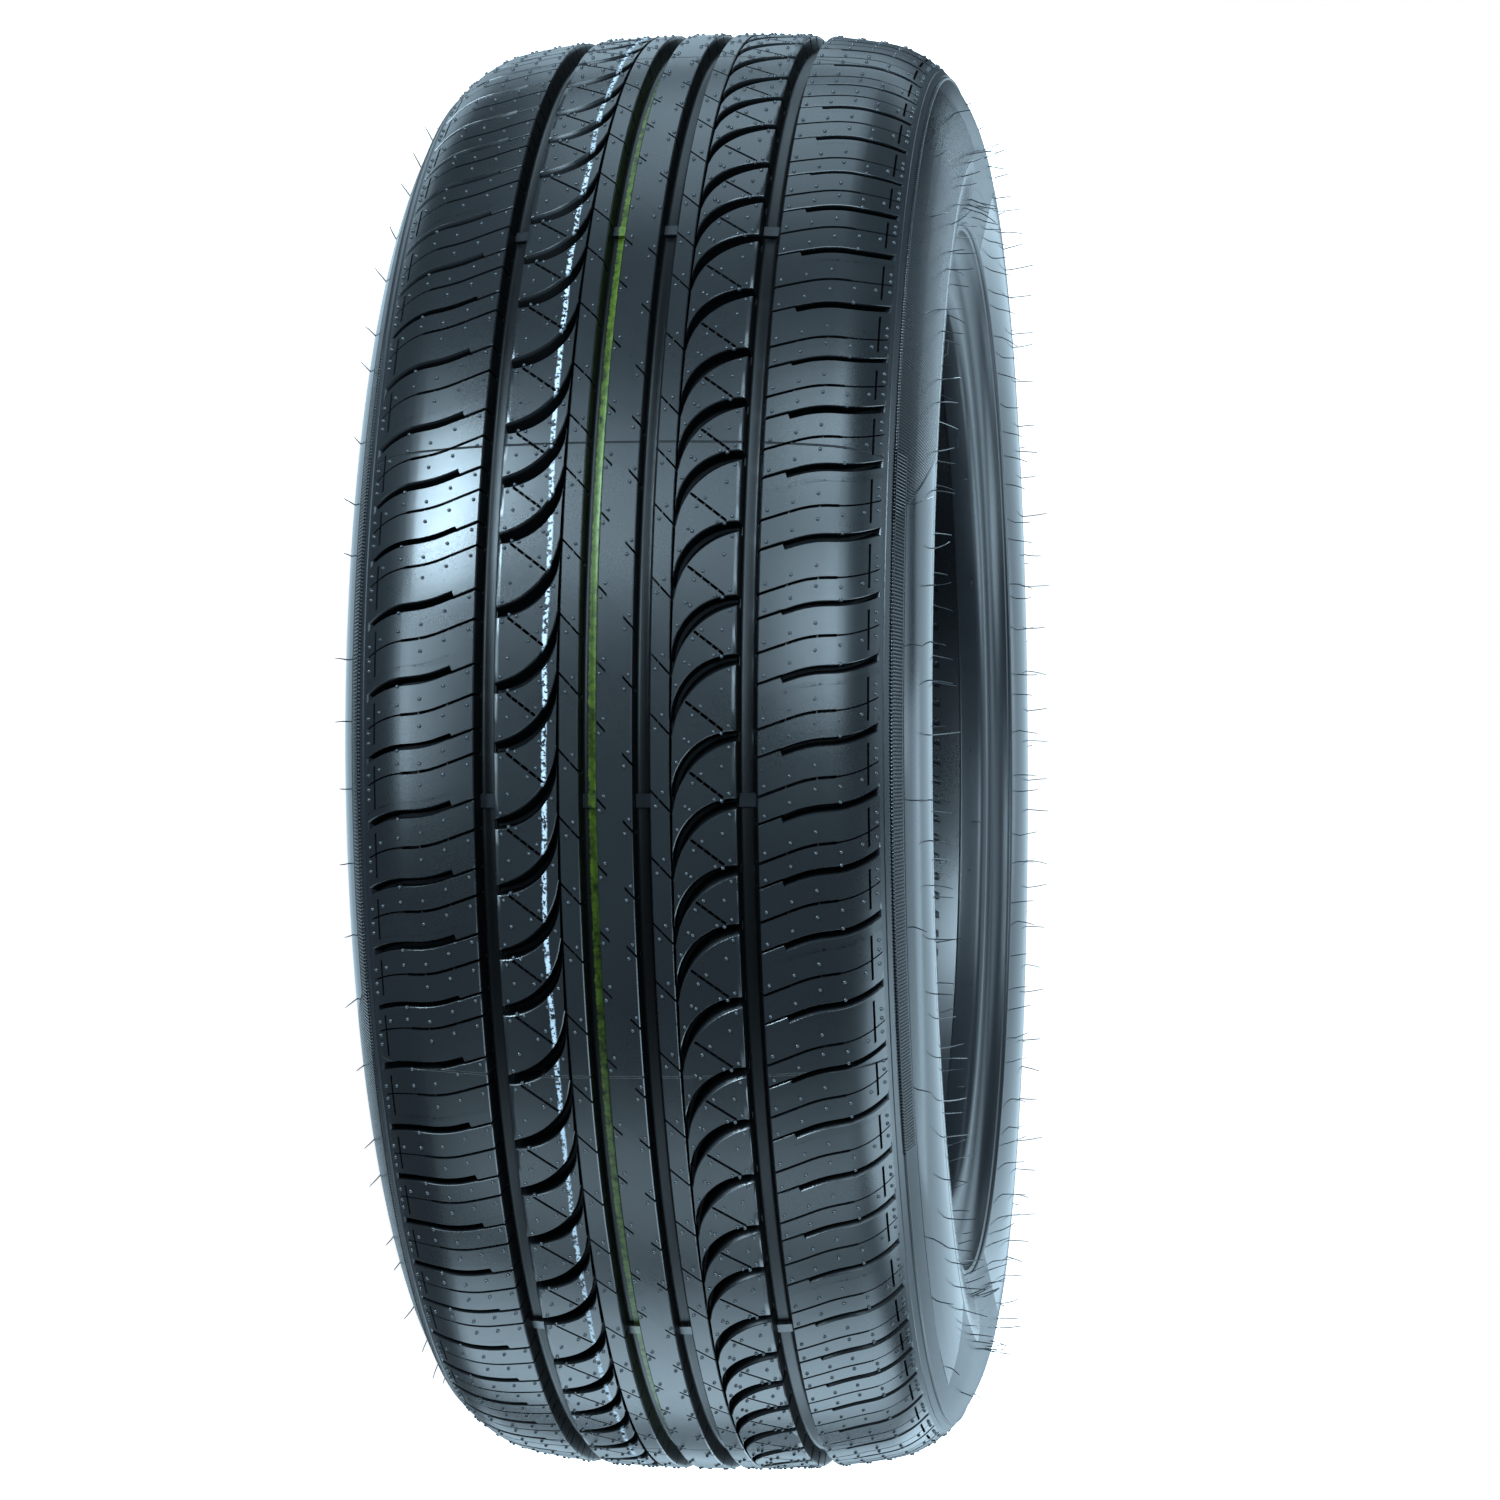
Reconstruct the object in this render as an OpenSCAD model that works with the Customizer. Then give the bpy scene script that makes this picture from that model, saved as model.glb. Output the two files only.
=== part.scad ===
// Car tyre for a family car: one moulded rubber piece, open inside, with four main
// grooves, curved grooves in the ribs beside the centre and lateral shoulder grooves.
// Millimetres. The wheel's centre is the origin and its axis is Z.

/* [Tyre] */
// Diameter over the middle of the tread
outer_diameter = 632; // [560:1:720]
// Overall width at the bulge of the sidewalls
section_width = 229; // [180:1:280]
// Diameter of the two bead seats, for a 16 inch rim
seat_diameter = 406; // [380:1:460]
// Distance from the widest place of a sidewall in to the outer face of its bead
bead_inset = 16; // [8:0.5:30]
// Height of the widest place of the sidewalls above the bead seats
bulge_height = 55.5; // [40:0.5:70]

/* [Section] */
// Radius of the crown's middle, across the tread
crown_radius = 700; // [400:10:1200]
// Distance from the middle at which the crown starts to bend more
crown_half = 45; // [30:1:60]
// Radius of the crown beside it
outer_crown_radius = 250; // [150:5:400]
// Radius of the rounded shoulder
shoulder_radius = 40; // [20:1:55]
// Radius of the sidewall's bulge
bulge_radius = 60; // [48:1:80]
// Thickness through the tread's ribs
crown_thickness = 13.5; // [11:0.5:20]
// Thickness of the sidewall at its widest
side_thickness = 8; // [5:0.5:12]
// Radius of the inner shoulder
inner_shoulder_radius = 30; // [15:1:45]

/* [Bead] */
// Width of each bead, from toe to heel
bead_width = 13.5; // [10:0.5:20]
// Rounding of the bead's heel
heel_radius = 4.5; // [2:0.5:7]
// Rounding of the bead's toe
toe_radius = 1.5; // [0.5:0.5:3]
// Height of the bead's flat outer face, above the seat
flange_face = 16.5; // [12:0.5:22]
// Radius of the hollow that the rim's flange fits
flange_radius = 9.5; // [6:0.5:14]
// Height of the rim line, a moulded ring, above the seat
rim_line_height = 28.5; // [24:0.5:36]
// Radius of the rim line's rib
rim_line_radius = 1.4; // [0.8:0.1:2.5]

/* [Main grooves] */
// Middle of the inner pair of grooves, from the tread's middle
inner_groove_at = 10.3; // [8:0.1:14]
// Width of the inner pair at the tread's surface
inner_groove_width = 6.9; // [4:0.1:9]
// Middle of the outer pair of grooves
outer_groove_at = 50.1; // [44:0.1:58]
// Width of the outer pair at the tread's surface
outer_groove_width = 8.2; // [5:0.1:11]
// Depth of the main grooves
groove_depth = 8; // [5:0.1:9]
// How much narrower the floor of a main groove is on each side
groove_draft = 0.9; // [0.2:0.1:1.5]
// Middle of the thin lines round the tyre beside the curved grooves
line_at = 21.4; // [18:0.1:26]
// Width of the thin lines
line_width = 0.7; // [0.5:0.1:1.5]
// Depth of the thin lines
line_depth = 4; // [1:0.1:6]
// Places round the tyre with a wear bar in each main groove
wear_places = 8; // [4:1:12]
// Length of a wear bar
wear_length = 6; // [3:0.5:12]
// Height of a wear bar above the floor of the groove
wear_height = 1.6; // [1:0.1:2.5]
// Angle of the first wear bar
first_wear_angle = 3.4; // [0:0.1:45]

/* [Pitches] */
// Order of small, medium and large pitches round the tread
pitch_order = "SLLSSLLSLMMSLLSMMSLMSSMLLMSLMLSSMMLSLLMSSLMMLSMSLLMMSLSMLSLMMLSSLMSLMSMLLSMLS";
// Length of a medium pitch beside a small one
medium_ratio = 1.12; // [1:0.01:1.3]
// Length of a large pitch beside a small one
large_ratio = 1.28; // [1.1:0.01:1.6]
// Angle at which the pitches of the lower half start
first_pitch_angle = 232.3; // [0:0.1:360]
// Angle by which the upper half's pitches lie before the lower half's
half_shift = 6.2; // [0:0.1:10]

/* [Curved grooves] */
// Radius of the curved groove's outer edge
arc_radius = 24.3; // [18:0.1:30]
// Radius of its inner edge
arc_inner_radius = 27.9; // [24:0.1:36]
// Width of the curved groove at the main groove
arc_width = 3; // [1.5:0.1:4]
// Width of the curved groove where it comes to the thin line
arc_tip_width = 1.6; // [0.8:0.1:2.5]
// Depth of the curved grooves
arc_depth = 6.5; // [3:0.1:8]

/* [Shoulder grooves] */
// Share of a pitch between a curved groove and the next shoulder groove
shoulder_share = 0.36; // [0.2:0.01:0.6]
// Width of the shoulder grooves
shoulder_width = 2.8; // [1.5:0.1:4]
// Distance between the outer main groove and a shoulder groove
shoulder_gap = 8.6; // [5:0.1:14]
// Depth of the shoulder grooves at their inner end
shoulder_depth = 5.5; // [3:0.1:7]
// Angle by which the floor of the shoulder grooves dips towards the sidewall
shoulder_dip = 12.5; // [5:0.5:20]
// How far the shoulder grooves reach from the outer main groove
shoulder_reach = 44.4; // [30:0.1:46]
// Slope of the shoulder groove's first stretch
start_slope = 20; // [8:1:30]
// Distance from the main groove at which it bends flatter
first_bend_at = 13; // [8:1:20]
// Radius of that bend
first_bend_radius = 42; // [20:1:80]
// Slope of the shoulder groove at its middle
middle_slope = 3.5; // [0:0.5:7]
// Distance from the main groove at which it bends back
second_bend_at = 28; // [26:1:34]
// Radius of the second bend
second_bend_radius = 30; // [24:1:60]

/* [Hidden] */
$fn = 96;
rubber = [0.09, 0.10, 0.11];
over = 2;

crown = outer_diameter / 2;
seat = seat_diameter / 2;
bulge = section_width / 2;

heel = bulge - bead_inset;

// The sidewall's radii and the bead's heights are given for a section of this height, and
// follow another one.
drawn_height = 113;
tall = (crown - seat) / drawn_height;
side_radius = bulge_radius * tall;
edge_radius = shoulder_radius * tall;
flange_top = flange_face * tall;
hollow_radius = flange_radius * tall;

// A point that lies a given distance from each of two others, on the far side of the axis.
function meet(p, dp, q, dq) =
  let (
    gap = norm(q - p),
    along = (dp * dp - dq * dq + gap * gap) / (2 * gap),
    side = sqrt(max(0, dp * dp - along * along)),
    dir = (q - p) / gap
  )
  p + along * dir + side * [-dir[1], dir[0]];

function angle_of(v) = atan2(v[1], v[0]);
function on_arc(centre, radius, angle) = centre + radius * [cos(angle), sin(angle)];

// Centres of the section's arcs, as [radius, height].
crown_centre = [crown - crown_radius, 0];
bend_angle = asin(crown_half / crown_radius);
outer_crown_centre = crown_centre
  + (crown_radius - outer_crown_radius) * [cos(bend_angle), sin(bend_angle)];
bulge_centre = [seat + bulge_height * tall, bulge - side_radius];
shoulder_centre = meet(outer_crown_centre, outer_crown_radius - edge_radius,
                       bulge_centre, side_radius - edge_radius);
inner_crown_radius = crown_radius - crown_thickness;
inner_bulge_radius = side_radius - side_thickness;
inner_edge_radius = inner_shoulder_radius * tall;
inner_shoulder_centre = meet(crown_centre, inner_crown_radius - inner_edge_radius,
                             bulge_centre, inner_bulge_radius - inner_edge_radius);
shoulder_angle = angle_of(shoulder_centre - outer_crown_centre);
bulge_angle = angle_of(shoulder_centre - bulge_centre);
bulge_end = acos(max(-1, (seat - bulge_centre[0]) / side_radius));
inner_shoulder_angle = angle_of(inner_shoulder_centre - crown_centre);
inner_bulge_angle = angle_of(inner_shoulder_centre - bulge_centre);
rim_line = seat + rim_line_height * tall;
toe = heel - bead_width;

// Height of the sidewall's surface at a radius.
function side_height(r) =
  bulge_centre[1] + sqrt(max(0, pow(side_radius, 2) - pow(r - bulge_centre[0], 2)));

// Radius of the tread's surface at a distance from its middle.
function tread_radius(z) =
  abs(z) < crown_half
    ? crown_centre[0] + sqrt(pow(crown_radius, 2) - z * z)
    : outer_crown_centre[0]
      + sqrt(max(0, pow(outer_crown_radius, 2) - pow(abs(z) - outer_crown_centre[1], 2)));

// Pitches as shares of a turn: each has its start and its size in degrees.
function pitch_weight(i) =
  pitch_order[i] == "S" ? 1 : pitch_order[i] == "M" ? medium_ratio : large_ratio;
pitches = len(pitch_order);
weights = [for (i = [0:pitches - 1]) pitch_weight(i)];
starts = [for (i = 0, sum = 0; i < pitches; sum = sum + weights[i], i = i + 1) sum];
degrees = 360 / (starts[pitches - 1] + weights[pitches - 1]);

// Points along an arc of the section in equal steps, without the arc's own start.
function arc(centre, radius, from, to, steps) =
  [for (i = [1:steps]) on_arc(centre, radius, from + (to - from) * i / steps)];

// Closes a half outline, whose first point lies on the middle plane, with its mirror image.
function both(points) =
  concat(points, [for (i = [len(points) - 1:-1:1]) [points[i][0], -points[i][1]]]);

// The outside of one half, from the middle of the tread over the shoulder and the bulge.
outside = concat(
  [[crown, 0]],
  arc(crown_centre, crown_radius, 0, bend_angle, 2),
  arc(outer_crown_centre, outer_crown_radius, bend_angle, shoulder_angle, 2),
  arc(shoulder_centre, edge_radius, shoulder_angle, bulge_angle, 4),
  arc(bulge_centre, side_radius, bulge_angle, bulge_end, 14));

// The inside of one half, from the middle of the liner to the bead's toe.
inside = concat(
  [[crown - crown_thickness, 0]],
  arc(crown_centre, inner_crown_radius, 0, inner_shoulder_angle, 3),
  arc(inner_shoulder_centre, inner_edge_radius, inner_shoulder_angle, inner_bulge_angle, 4),
  arc(bulge_centre, inner_bulge_radius, inner_bulge_angle, 180, 9),
  [[seat - over, bulge_centre[1]]]);

// The bead of one side, with its rounded heel and toe and the hollow for the rim's flange.
module bead() {
  translate([seat, toe]) square([flange_top + hollow_radius, bead_width]);
}

module bead_cuts() {
  translate([seat - over, heel]) square([flange_top + over, bulge]);
  translate([seat + flange_top, heel + hollow_radius]) disc(hollow_radius, 36);
  corner([seat, heel], heel_radius, -1);
  corner([seat, toe], toe_radius, 1);
}

// What a rounding takes off a corner of the seat.
module corner(at, radius, up) {
  difference() {
    translate(at - [over, up > 0 ? over : radius]) square(radius + over);
    translate(at + [radius, up * radius]) disc(radius, 24);
  }
}

module disc(radius, sides) {
  polygon([for (i = [0:sides - 1]) on_arc([0, 0], radius, 360 * i / sides)]);
}

// A ring groove's profile, whose walls draw in towards its floor.
module groove_profile(at, width, depth, draft) {
  floor_radius = tread_radius(at) - depth;
  wide = width / 2;
  narrow = wide - draft;
  flare = over * draft / depth;
  polygon([[floor_radius, at - narrow], [floor_radius, at + narrow],
           [floor_radius + depth + over, at + wide + flare],
           [floor_radius + depth + over, at - wide - flare]]);
}

module section() {
  difference() {
    union() {
      polygon(both(outside));
      for (side = [0, 1]) mirror([0, side]) {
        bead();
        translate([rim_line, side_height(rim_line) - rim_line_radius / 3])
          disc(rim_line_radius, 12);
      }
    }
    polygon(both(inside));
    translate([seat - over, -toe]) square([bulge_centre[0] - seat + over, 2 * toe]);
    for (side = [0, 1]) mirror([0, side]) {
      bead_cuts();
      groove_profile(inner_groove_at, inner_groove_width, groove_depth, groove_draft);
      groove_profile(outer_groove_at, outer_groove_width, groove_depth, groove_draft);
      groove_profile(line_at, line_width, line_depth, 0.05);
    }
  }
}

// The wear bars of one main groove, sunk a little into its walls.
module wear_bars(at, width) {
  floor_radius = tread_radius(at) - groove_depth;
  for (i = [0:wear_places - 1])
    rotate([0, 0, first_wear_angle + i * 360 / wear_places])
      translate([floor_radius - over, -wear_length / 2, at - width / 2])
        cube([wear_height + over, wear_length, width]);
}

// Lays a flat outline on the tread: its x runs round the tyre and its y across it.
module on_tread(angle, radius) {
  rotate([0, 0, angle]) translate([radius, 0, 0]) rotate([90, 0, 90]) children();
}

inner_shoulder_edge = outer_groove_at - outer_groove_width / 2;
shoulder_edge = outer_groove_at + outer_groove_width / 2;

// The curved groove, from the outer main groove round to the thin line. Its two edges are
// arcs: the outer one meets the line square, the inner one is wider and closes in on it.
line_edge = line_at + line_width / 2;
arc_centre = [arc_radius - arc_width / 2, line_edge + arc_radius];
arc_inner_centre = meet([arc_width / 2, inner_shoulder_edge], arc_inner_radius,
                        [arc_centre[0], line_edge + arc_tip_width], arc_inner_radius);

module arc_outline() {
  intersection() {
    difference() {
      translate(arc_centre) circle(arc_radius);
      translate(arc_inner_centre) circle(arc_inner_radius);
    }
    translate([-arc_width, line_at])
      square([arc_centre[0] + 2 * arc_tip_width + arc_width, inner_shoulder_edge + over / 2 - line_at]);
  }
}

// The line of a shoulder groove, as the distance that it has climbed round the tyre at a
// distance from the main groove: straight, a bend, straight and a tighter bend back.
first_bend = first_bend_radius * (sin(start_slope) - sin(middle_slope));
function climb(t) =
  t < first_bend_at ? t * tan(start_slope)
  : t < first_bend_at + first_bend
    ? climb(first_bend_at - 0.001) + first_bend_radius
      * (cos(asin(sin(start_slope) - (t - first_bend_at) / first_bend_radius)) - cos(start_slope))
  : t < second_bend_at
    ? climb(first_bend_at + first_bend - 0.001) + (t - first_bend_at - first_bend) * tan(middle_slope)
  : climb(second_bend_at - 0.001) + second_bend_radius
    * (cos(middle_slope) - cos(asin(sin(middle_slope) + (t - second_bend_at) / second_bend_radius)));

shoulder_steps = [shoulder_gap, first_bend_at + first_bend / 2, second_bend_at,
                  (second_bend_at + 2 * shoulder_reach) / 3, shoulder_reach];
module shoulder_outline() {
  polygon(concat(
    [for (t = shoulder_steps) [-climb(t), t]],
    [for (i = [len(shoulder_steps) - 1:-1:0]) [shoulder_width - climb(shoulder_steps[i]), shoulder_steps[i]]]));
}

// The cuts of one pitch of one half. The lower half is the upper one turned about a
// line through the tread, so its outlines are turned and run the other way.
module pitch_cuts(side, i) {
  start = first_pitch_angle + starts[i] * degrees - (side > 0 ? half_shift : 0);
  size = weights[(side > 0 ? i : (i + pitches - 1) % pitches)] * degrees;
  turn = side > 0 ? 0 : 180;
  on_tread(start, tread_radius(outer_groove_at) - arc_depth)
    rotate([0, 0, turn]) linear_extrude(arc_depth + 2 * over) arc_outline();
  on_tread(start + side * shoulder_share * size, tread_radius(shoulder_edge) - shoulder_depth)
    rotate([0, 0, turn]) translate([0, shoulder_edge, 0]) rotate([-shoulder_dip, 0, 0])
      linear_extrude(2 * shoulder_depth) shoulder_outline();
}

module tyre() {
  color(rubber)
  difference() {
    union() {
      rotate_extrude($fn = 180) section();
      for (side = [-1, 1]) {
        wear_bars(side * inner_groove_at, inner_groove_width);
        wear_bars(side * outer_groove_at, outer_groove_width);
      }
    }
    for (side = [-1, 1])
      for (i = [0:pitches - 1]) pitch_cuts(side, i);
  }
}

tyre();
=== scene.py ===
# %% [markdown]
# # A car tyre, from its tread to its beads
# A tyre is one moulded piece of rubber. Everything on it runs round an axis, in pitches of
# three lengths, so that it doesn't sing on the road. It could be carved out of one solid with
# booleans, but they are slow and leave ragged shading. Here each rib of the tread is a band: a
# grid whose rows follow its grooves and sipes, so every edge is a real edge. The bands stand
# on a plain revolved casing. Lengths are in millimetres until a mesh is made, and angles round
# the tyre are in degrees.

# %% Tools and the packed frame
import math

import bpy
import numpy as np
from mathutils import Matrix


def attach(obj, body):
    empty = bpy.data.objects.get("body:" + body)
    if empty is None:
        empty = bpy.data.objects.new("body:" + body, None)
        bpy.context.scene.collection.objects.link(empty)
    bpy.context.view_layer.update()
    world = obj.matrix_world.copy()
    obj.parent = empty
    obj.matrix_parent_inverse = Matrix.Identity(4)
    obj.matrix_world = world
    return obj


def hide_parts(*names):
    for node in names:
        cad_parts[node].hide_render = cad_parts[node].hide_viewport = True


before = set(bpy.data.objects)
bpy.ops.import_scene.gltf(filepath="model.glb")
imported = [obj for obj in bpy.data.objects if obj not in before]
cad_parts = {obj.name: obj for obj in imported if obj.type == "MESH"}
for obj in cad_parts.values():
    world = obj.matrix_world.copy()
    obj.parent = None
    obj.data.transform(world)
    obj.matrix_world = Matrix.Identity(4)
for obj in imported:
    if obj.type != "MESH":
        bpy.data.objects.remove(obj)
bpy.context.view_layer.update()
MM = 0.001

# %% [markdown]
# ## Camera
# The photograph looks at the tread, with the right sidewall turned a little to the camera. The
# tyre lies on its side here, with its axis upright, so the camera is beside it and rolled by a
# quarter turn. A long lens keeps the tread's sides nearly parallel. Aiming with an empty and a
# constraint would work too, but plain angles are easier to check against the picture.

# %% The camera's numbers and axes
LENS = 105.1
CAMERA_SIDE = 270.8
CAMERA_DISTANCE = 1937.0
YAW = math.radians(-7.698)
PITCH = math.radians(0.018)
ROLL = math.radians(-0.268)


def picture(right, forward, up):
    """A direction or place of the picture (right, into it, up) in the tyre's own frame, where
    the picture's up is -X and its right is +Z."""
    return np.array([-up, forward, right])


def camera_axes(yaw, pitch, roll):
    """The camera's right, up and forward. Yaw and pitch give forward, and right and up are
    turned about it by roll."""
    forward = np.array([math.sin(yaw) * math.cos(pitch), math.cos(yaw) * math.cos(pitch),
                        math.sin(pitch)])
    level = np.array([math.cos(yaw), -math.sin(yaw), 0.0])
    above = np.cross(level, forward)
    right = math.cos(roll) * level + math.sin(roll) * above
    up = math.cos(roll) * above - math.sin(roll) * level
    return [picture(*v) for v in (right, up, forward)]


print("the camera looks along", camera_axes(YAW, PITCH, ROLL)[2].round(3))

# %% Placing the camera
def place_camera():
    """Makes the scene's camera, with the axes above as the columns of its matrix."""
    right, up, forward = camera_axes(YAW, PITCH, ROLL)
    data = bpy.data.cameras.new("camera")
    data.lens = LENS
    data.sensor_width = 36.0
    data.clip_end = 50.0
    made = bpy.data.objects.new("camera", data)
    bpy.context.scene.collection.objects.link(made)
    matrix = np.eye(4)
    matrix[:3, 0] = right
    matrix[:3, 1] = up
    matrix[:3, 2] = -forward
    matrix[:3, 3] = picture(CAMERA_SIDE, -CAMERA_DISTANCE, 0.0) * MM
    made.matrix_world = Matrix(matrix.tolist())
    bpy.context.scene.camera = made
    return made


camera = place_camera()
print("camera at", [round(v, 3) for v in camera.location])

# %% [markdown]
# ## Section
# The outside of a tyre's section is four arcs that meet smoothly: the crown, a tighter crown
# beside it, the shoulder and the bulge of the sidewall. A Bezier drawn by eye would do, but
# the arcs are how a mould is drawn, and they give the surface's normal at each point exactly.

# %% Sizes of the section
CROWN = 316.0
CROWN_RADIUS = 700.0
CROWN_HALF = 45.0
OUTER_CROWN_RADIUS = 250.0
SHOULDER_RADIUS = 40.0
BULGE_RADIUS = 60.0
BULGE_CENTRE = np.array([258.5, 54.5])
SEAT = 203.0
HEEL = 98.5
TOE = 85.0
MM_PER_DEGREE = CROWN * math.pi / 180
print("a degree of the tread is", round(MM_PER_DEGREE, 2), "mm")


# %% Arcs and where they meet
def meet(p, from_p, q, from_q):
    """The point that lies from_p from p and from_q from q: along the line between them by the
    law of cosines, and to its side by Pythagoras."""
    gap = np.linalg.norm(q - p)
    along = (from_p**2 - from_q**2 + gap**2) / (2 * gap)
    aside = math.sqrt(from_p**2 - along**2)
    way = (q - p) / gap
    return p + along * way + aside * np.array([-way[1], way[0]])


def angle_of(v):
    return math.degrees(math.atan2(v[1], v[0]))


def arc(centre, radius, start, end, step=1.5):
    """Points (radius, height) from one angle to another round a centre, a step apart."""
    count = max(3, int(abs(math.radians(end - start)) * radius / step) + 2)
    a = np.radians(np.linspace(start, end, count))
    return np.stack([centre[0] + radius * np.cos(a), centre[1] + radius * np.sin(a)], axis=1)


print("a quarter of a 40 mm circle takes", len(arc(np.zeros(2), 40.0, 0, 90)), "points")

# %% The outside as four arcs
FINE = 0.2
crown_centre = np.array([CROWN - CROWN_RADIUS, 0.0])
bend = math.degrees(math.asin(CROWN_HALF / CROWN_RADIUS))
outer_crown_centre = crown_centre + (CROWN_RADIUS - OUTER_CROWN_RADIUS) * np.array(
    [math.cos(math.radians(bend)), math.sin(math.radians(bend))])
shoulder_centre = meet(outer_crown_centre, OUTER_CROWN_RADIUS - SHOULDER_RADIUS,
                       BULGE_CENTRE, BULGE_RADIUS - SHOULDER_RADIUS)
shoulder_start = angle_of(shoulder_centre - outer_crown_centre)
bulge_start = angle_of(shoulder_centre - BULGE_CENTRE)
fine = np.vstack([
    arc(crown_centre, CROWN_RADIUS, 0, bend, FINE)[:-1],
    arc(outer_crown_centre, OUTER_CROWN_RADIUS, bend, shoulder_start, FINE)[:-1],
    arc(shoulder_centre, SHOULDER_RADIUS, shoulder_start, bulge_start, FINE)[:-1],
    arc(BULGE_CENTRE, BULGE_RADIUS, bulge_start, 90, FINE)])
print("the shoulder's arc runs over degrees", round(shoulder_start, 1), round(bulge_start, 1))

# %% Place and normal of the outside
slope = np.gradient(fine, axis=0)
slope /= np.linalg.norm(slope, axis=1, keepdims=True)
fine_normal = np.stack([slope[:, 1], -slope[:, 0]], axis=1)


def surface(z):
    """Radius and the two parts of the outward normal of the tyre's outside at a height."""
    height = np.abs(z)
    radius = np.interp(height, fine[:, 1], fine[:, 0])
    out = np.interp(height, fine[:, 1], fine_normal[:, 0])
    up = np.sign(z) * np.interp(height, fine[:, 1], fine_normal[:, 1])
    return radius, out, up


print("the radius at the shoulder's edge is", round(float(surface(98.5)[0]), 1))

# %% [markdown]
# ## Grids to meshes
# Every piece is a grid of points worked out at once with numpy. Where two grooves run
# together, some points of a grid fall on each other, so they are merged and what collapses is
# left out. bmesh could merge them too, but sorting whole arrays is faster.

# %% Merging points
SAME_PLACE = 1e-7


def merged(points, faces):
    """Merges points that lie within 0.1 micrometre and drops the corners that fall together."""
    keys = np.round(points / SAME_PLACE).astype(np.int64)
    first, back = np.unique(keys, axis=0, return_index=True, return_inverse=True)[1:]
    faces = back.reshape(-1)[faces]
    same_next = faces == np.roll(faces, -1, axis=1)
    lost = same_next.sum(axis=1)
    cross = (faces[:, 0] == faces[:, 2]) | (faces[:, 1] == faces[:, 3])
    quads = faces[(lost == 0) & ~cross]
    one = faces[(lost == 1) & ~cross]
    keep = ~(one == np.roll(one, -1, axis=1))
    triangles = one[keep].reshape(-1, 3)
    return points[first], quads, triangles


print("of two equal points", len(merged(np.zeros((2, 3)), np.zeros((1, 4), int))[0]), "is left")

# %% Cells of a grid
def grid_faces(rows, cols, close_rows, close_cols):
    """The corners of each cell: along the rows first, then along the columns."""
    i = np.arange(rows if close_rows else rows - 1)
    j = np.arange(cols if close_cols else cols - 1)
    i, j = np.meshgrid(i, j, indexing="ij")
    i2, j2 = (i + 1) % rows, (j + 1) % cols
    return np.stack([i * cols + j, i2 * cols + j, i2 * cols + j2, i * cols + j2],
                    axis=-1).reshape(-1, 4)


print("a grid of 3 by 4 points, closed both ways, has", len(grid_faces(3, 4, True, True)), "cells")

# %% Filling a mesh
def new_mesh(name, points, quads, triangles, sharp):
    """Fills a mesh from arrays, smooth except along edges that turn more than sharp degrees."""
    mesh = bpy.data.meshes.new(name)
    corners = np.concatenate([quads.reshape(-1), triangles.reshape(-1)])
    sizes = np.concatenate([np.full(len(quads), 4), np.full(len(triangles), 3)])
    mesh.vertices.add(len(points))
    mesh.vertices.foreach_set("co", points.astype(np.float32).reshape(-1))
    mesh.loops.add(len(corners))
    mesh.loops.foreach_set("vertex_index", corners.astype(np.int32))
    mesh.polygons.add(len(sizes))
    mesh.polygons.foreach_set("loop_start", (np.cumsum(sizes) - sizes).astype(np.int32))
    mesh.update(calc_edges=True)
    mesh.polygons.foreach_set("use_smooth", np.ones(len(sizes), dtype=bool))
    mesh.set_sharp_from_angle(angle=math.radians(sharp))
    return mesh


print("meshes so far", len(bpy.data.meshes))

# %% A piece of the tyre
def piece(name, grids, material, sharp=38):
    """Makes one object of the tyre from (points, close_rows, close_cols) grids, or stacks of
    equal grids, and prints its size in triangles."""
    all_points, all_quads, all_triangles, count = [], [], [], 0
    for points, close_rows, close_cols in grids:
        rows, cols = points.shape[-3:-1]
        copies = np.arange(points.size // (3 * rows * cols)) * rows * cols
        cells = grid_faces(rows, cols, close_rows, close_cols) + copies[:, None, None]
        flat, quads, triangles = merged(points.reshape(-1, 3), cells.reshape(-1, 4))
        all_points.append(flat)
        all_quads.append(quads + count)
        all_triangles.append(triangles + count)
        count += len(flat)
    quads, triangles = np.vstack(all_quads), np.vstack(all_triangles)
    mesh = new_mesh(name, np.vstack(all_points), quads, triangles, sharp)
    made = bpy.data.objects.new(name, mesh)
    bpy.context.scene.collection.objects.link(made)
    made.data.materials.append(material)
    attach(made, "root")
    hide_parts("tyre")
    print(name, 2 * len(quads) + len(triangles), "triangles")
    return made


# %% From the tread to the tyre
def on_tyre(theta, z, depth, side=1):
    """Places points at an angle in degrees, a height and a depth under the outside, measured
    along its normal. The lower half is the upper one turned by half a turn about a line
    through the tread, so its angle and its height change sign."""
    radius, out, up = surface(z)
    r = radius - depth * out
    h = z - depth * up
    a = np.radians(theta) * side
    return np.stack([r * np.cos(a), r * np.sin(a), h * side], axis=-1) * MM


print("the tread's middle at 90 degrees is", on_tyre(90.0, np.array(0.0), 0.0).round(3))

# %% [markdown]
# ## Pitches
# The pattern repeats in small, medium and large pitches, in an order that spreads the noise.
# The lower half of the tread is the upper half turned round, with its pitches a little apart.
# An Array modifier could repeat one pitch, but it can't stretch it, so each pitch is worked out
# from its own length.

# %% Pitches
ORDER = "SLLSSLLSLMMSLLSMMSLMSSMLLMSLMLSSMMLSLLMSSLMMLSMSLLMMSLSMLSLMMLSSLMSLMSMLLSMLS"
LENGTH = {"S": 1.0, "M": 1.12, "L": 1.28}
FIRST_PITCH = 232.3
HALF_SHIFT = 6.2
HALVES = (("upper", 1), ("lower", -1))

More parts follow.
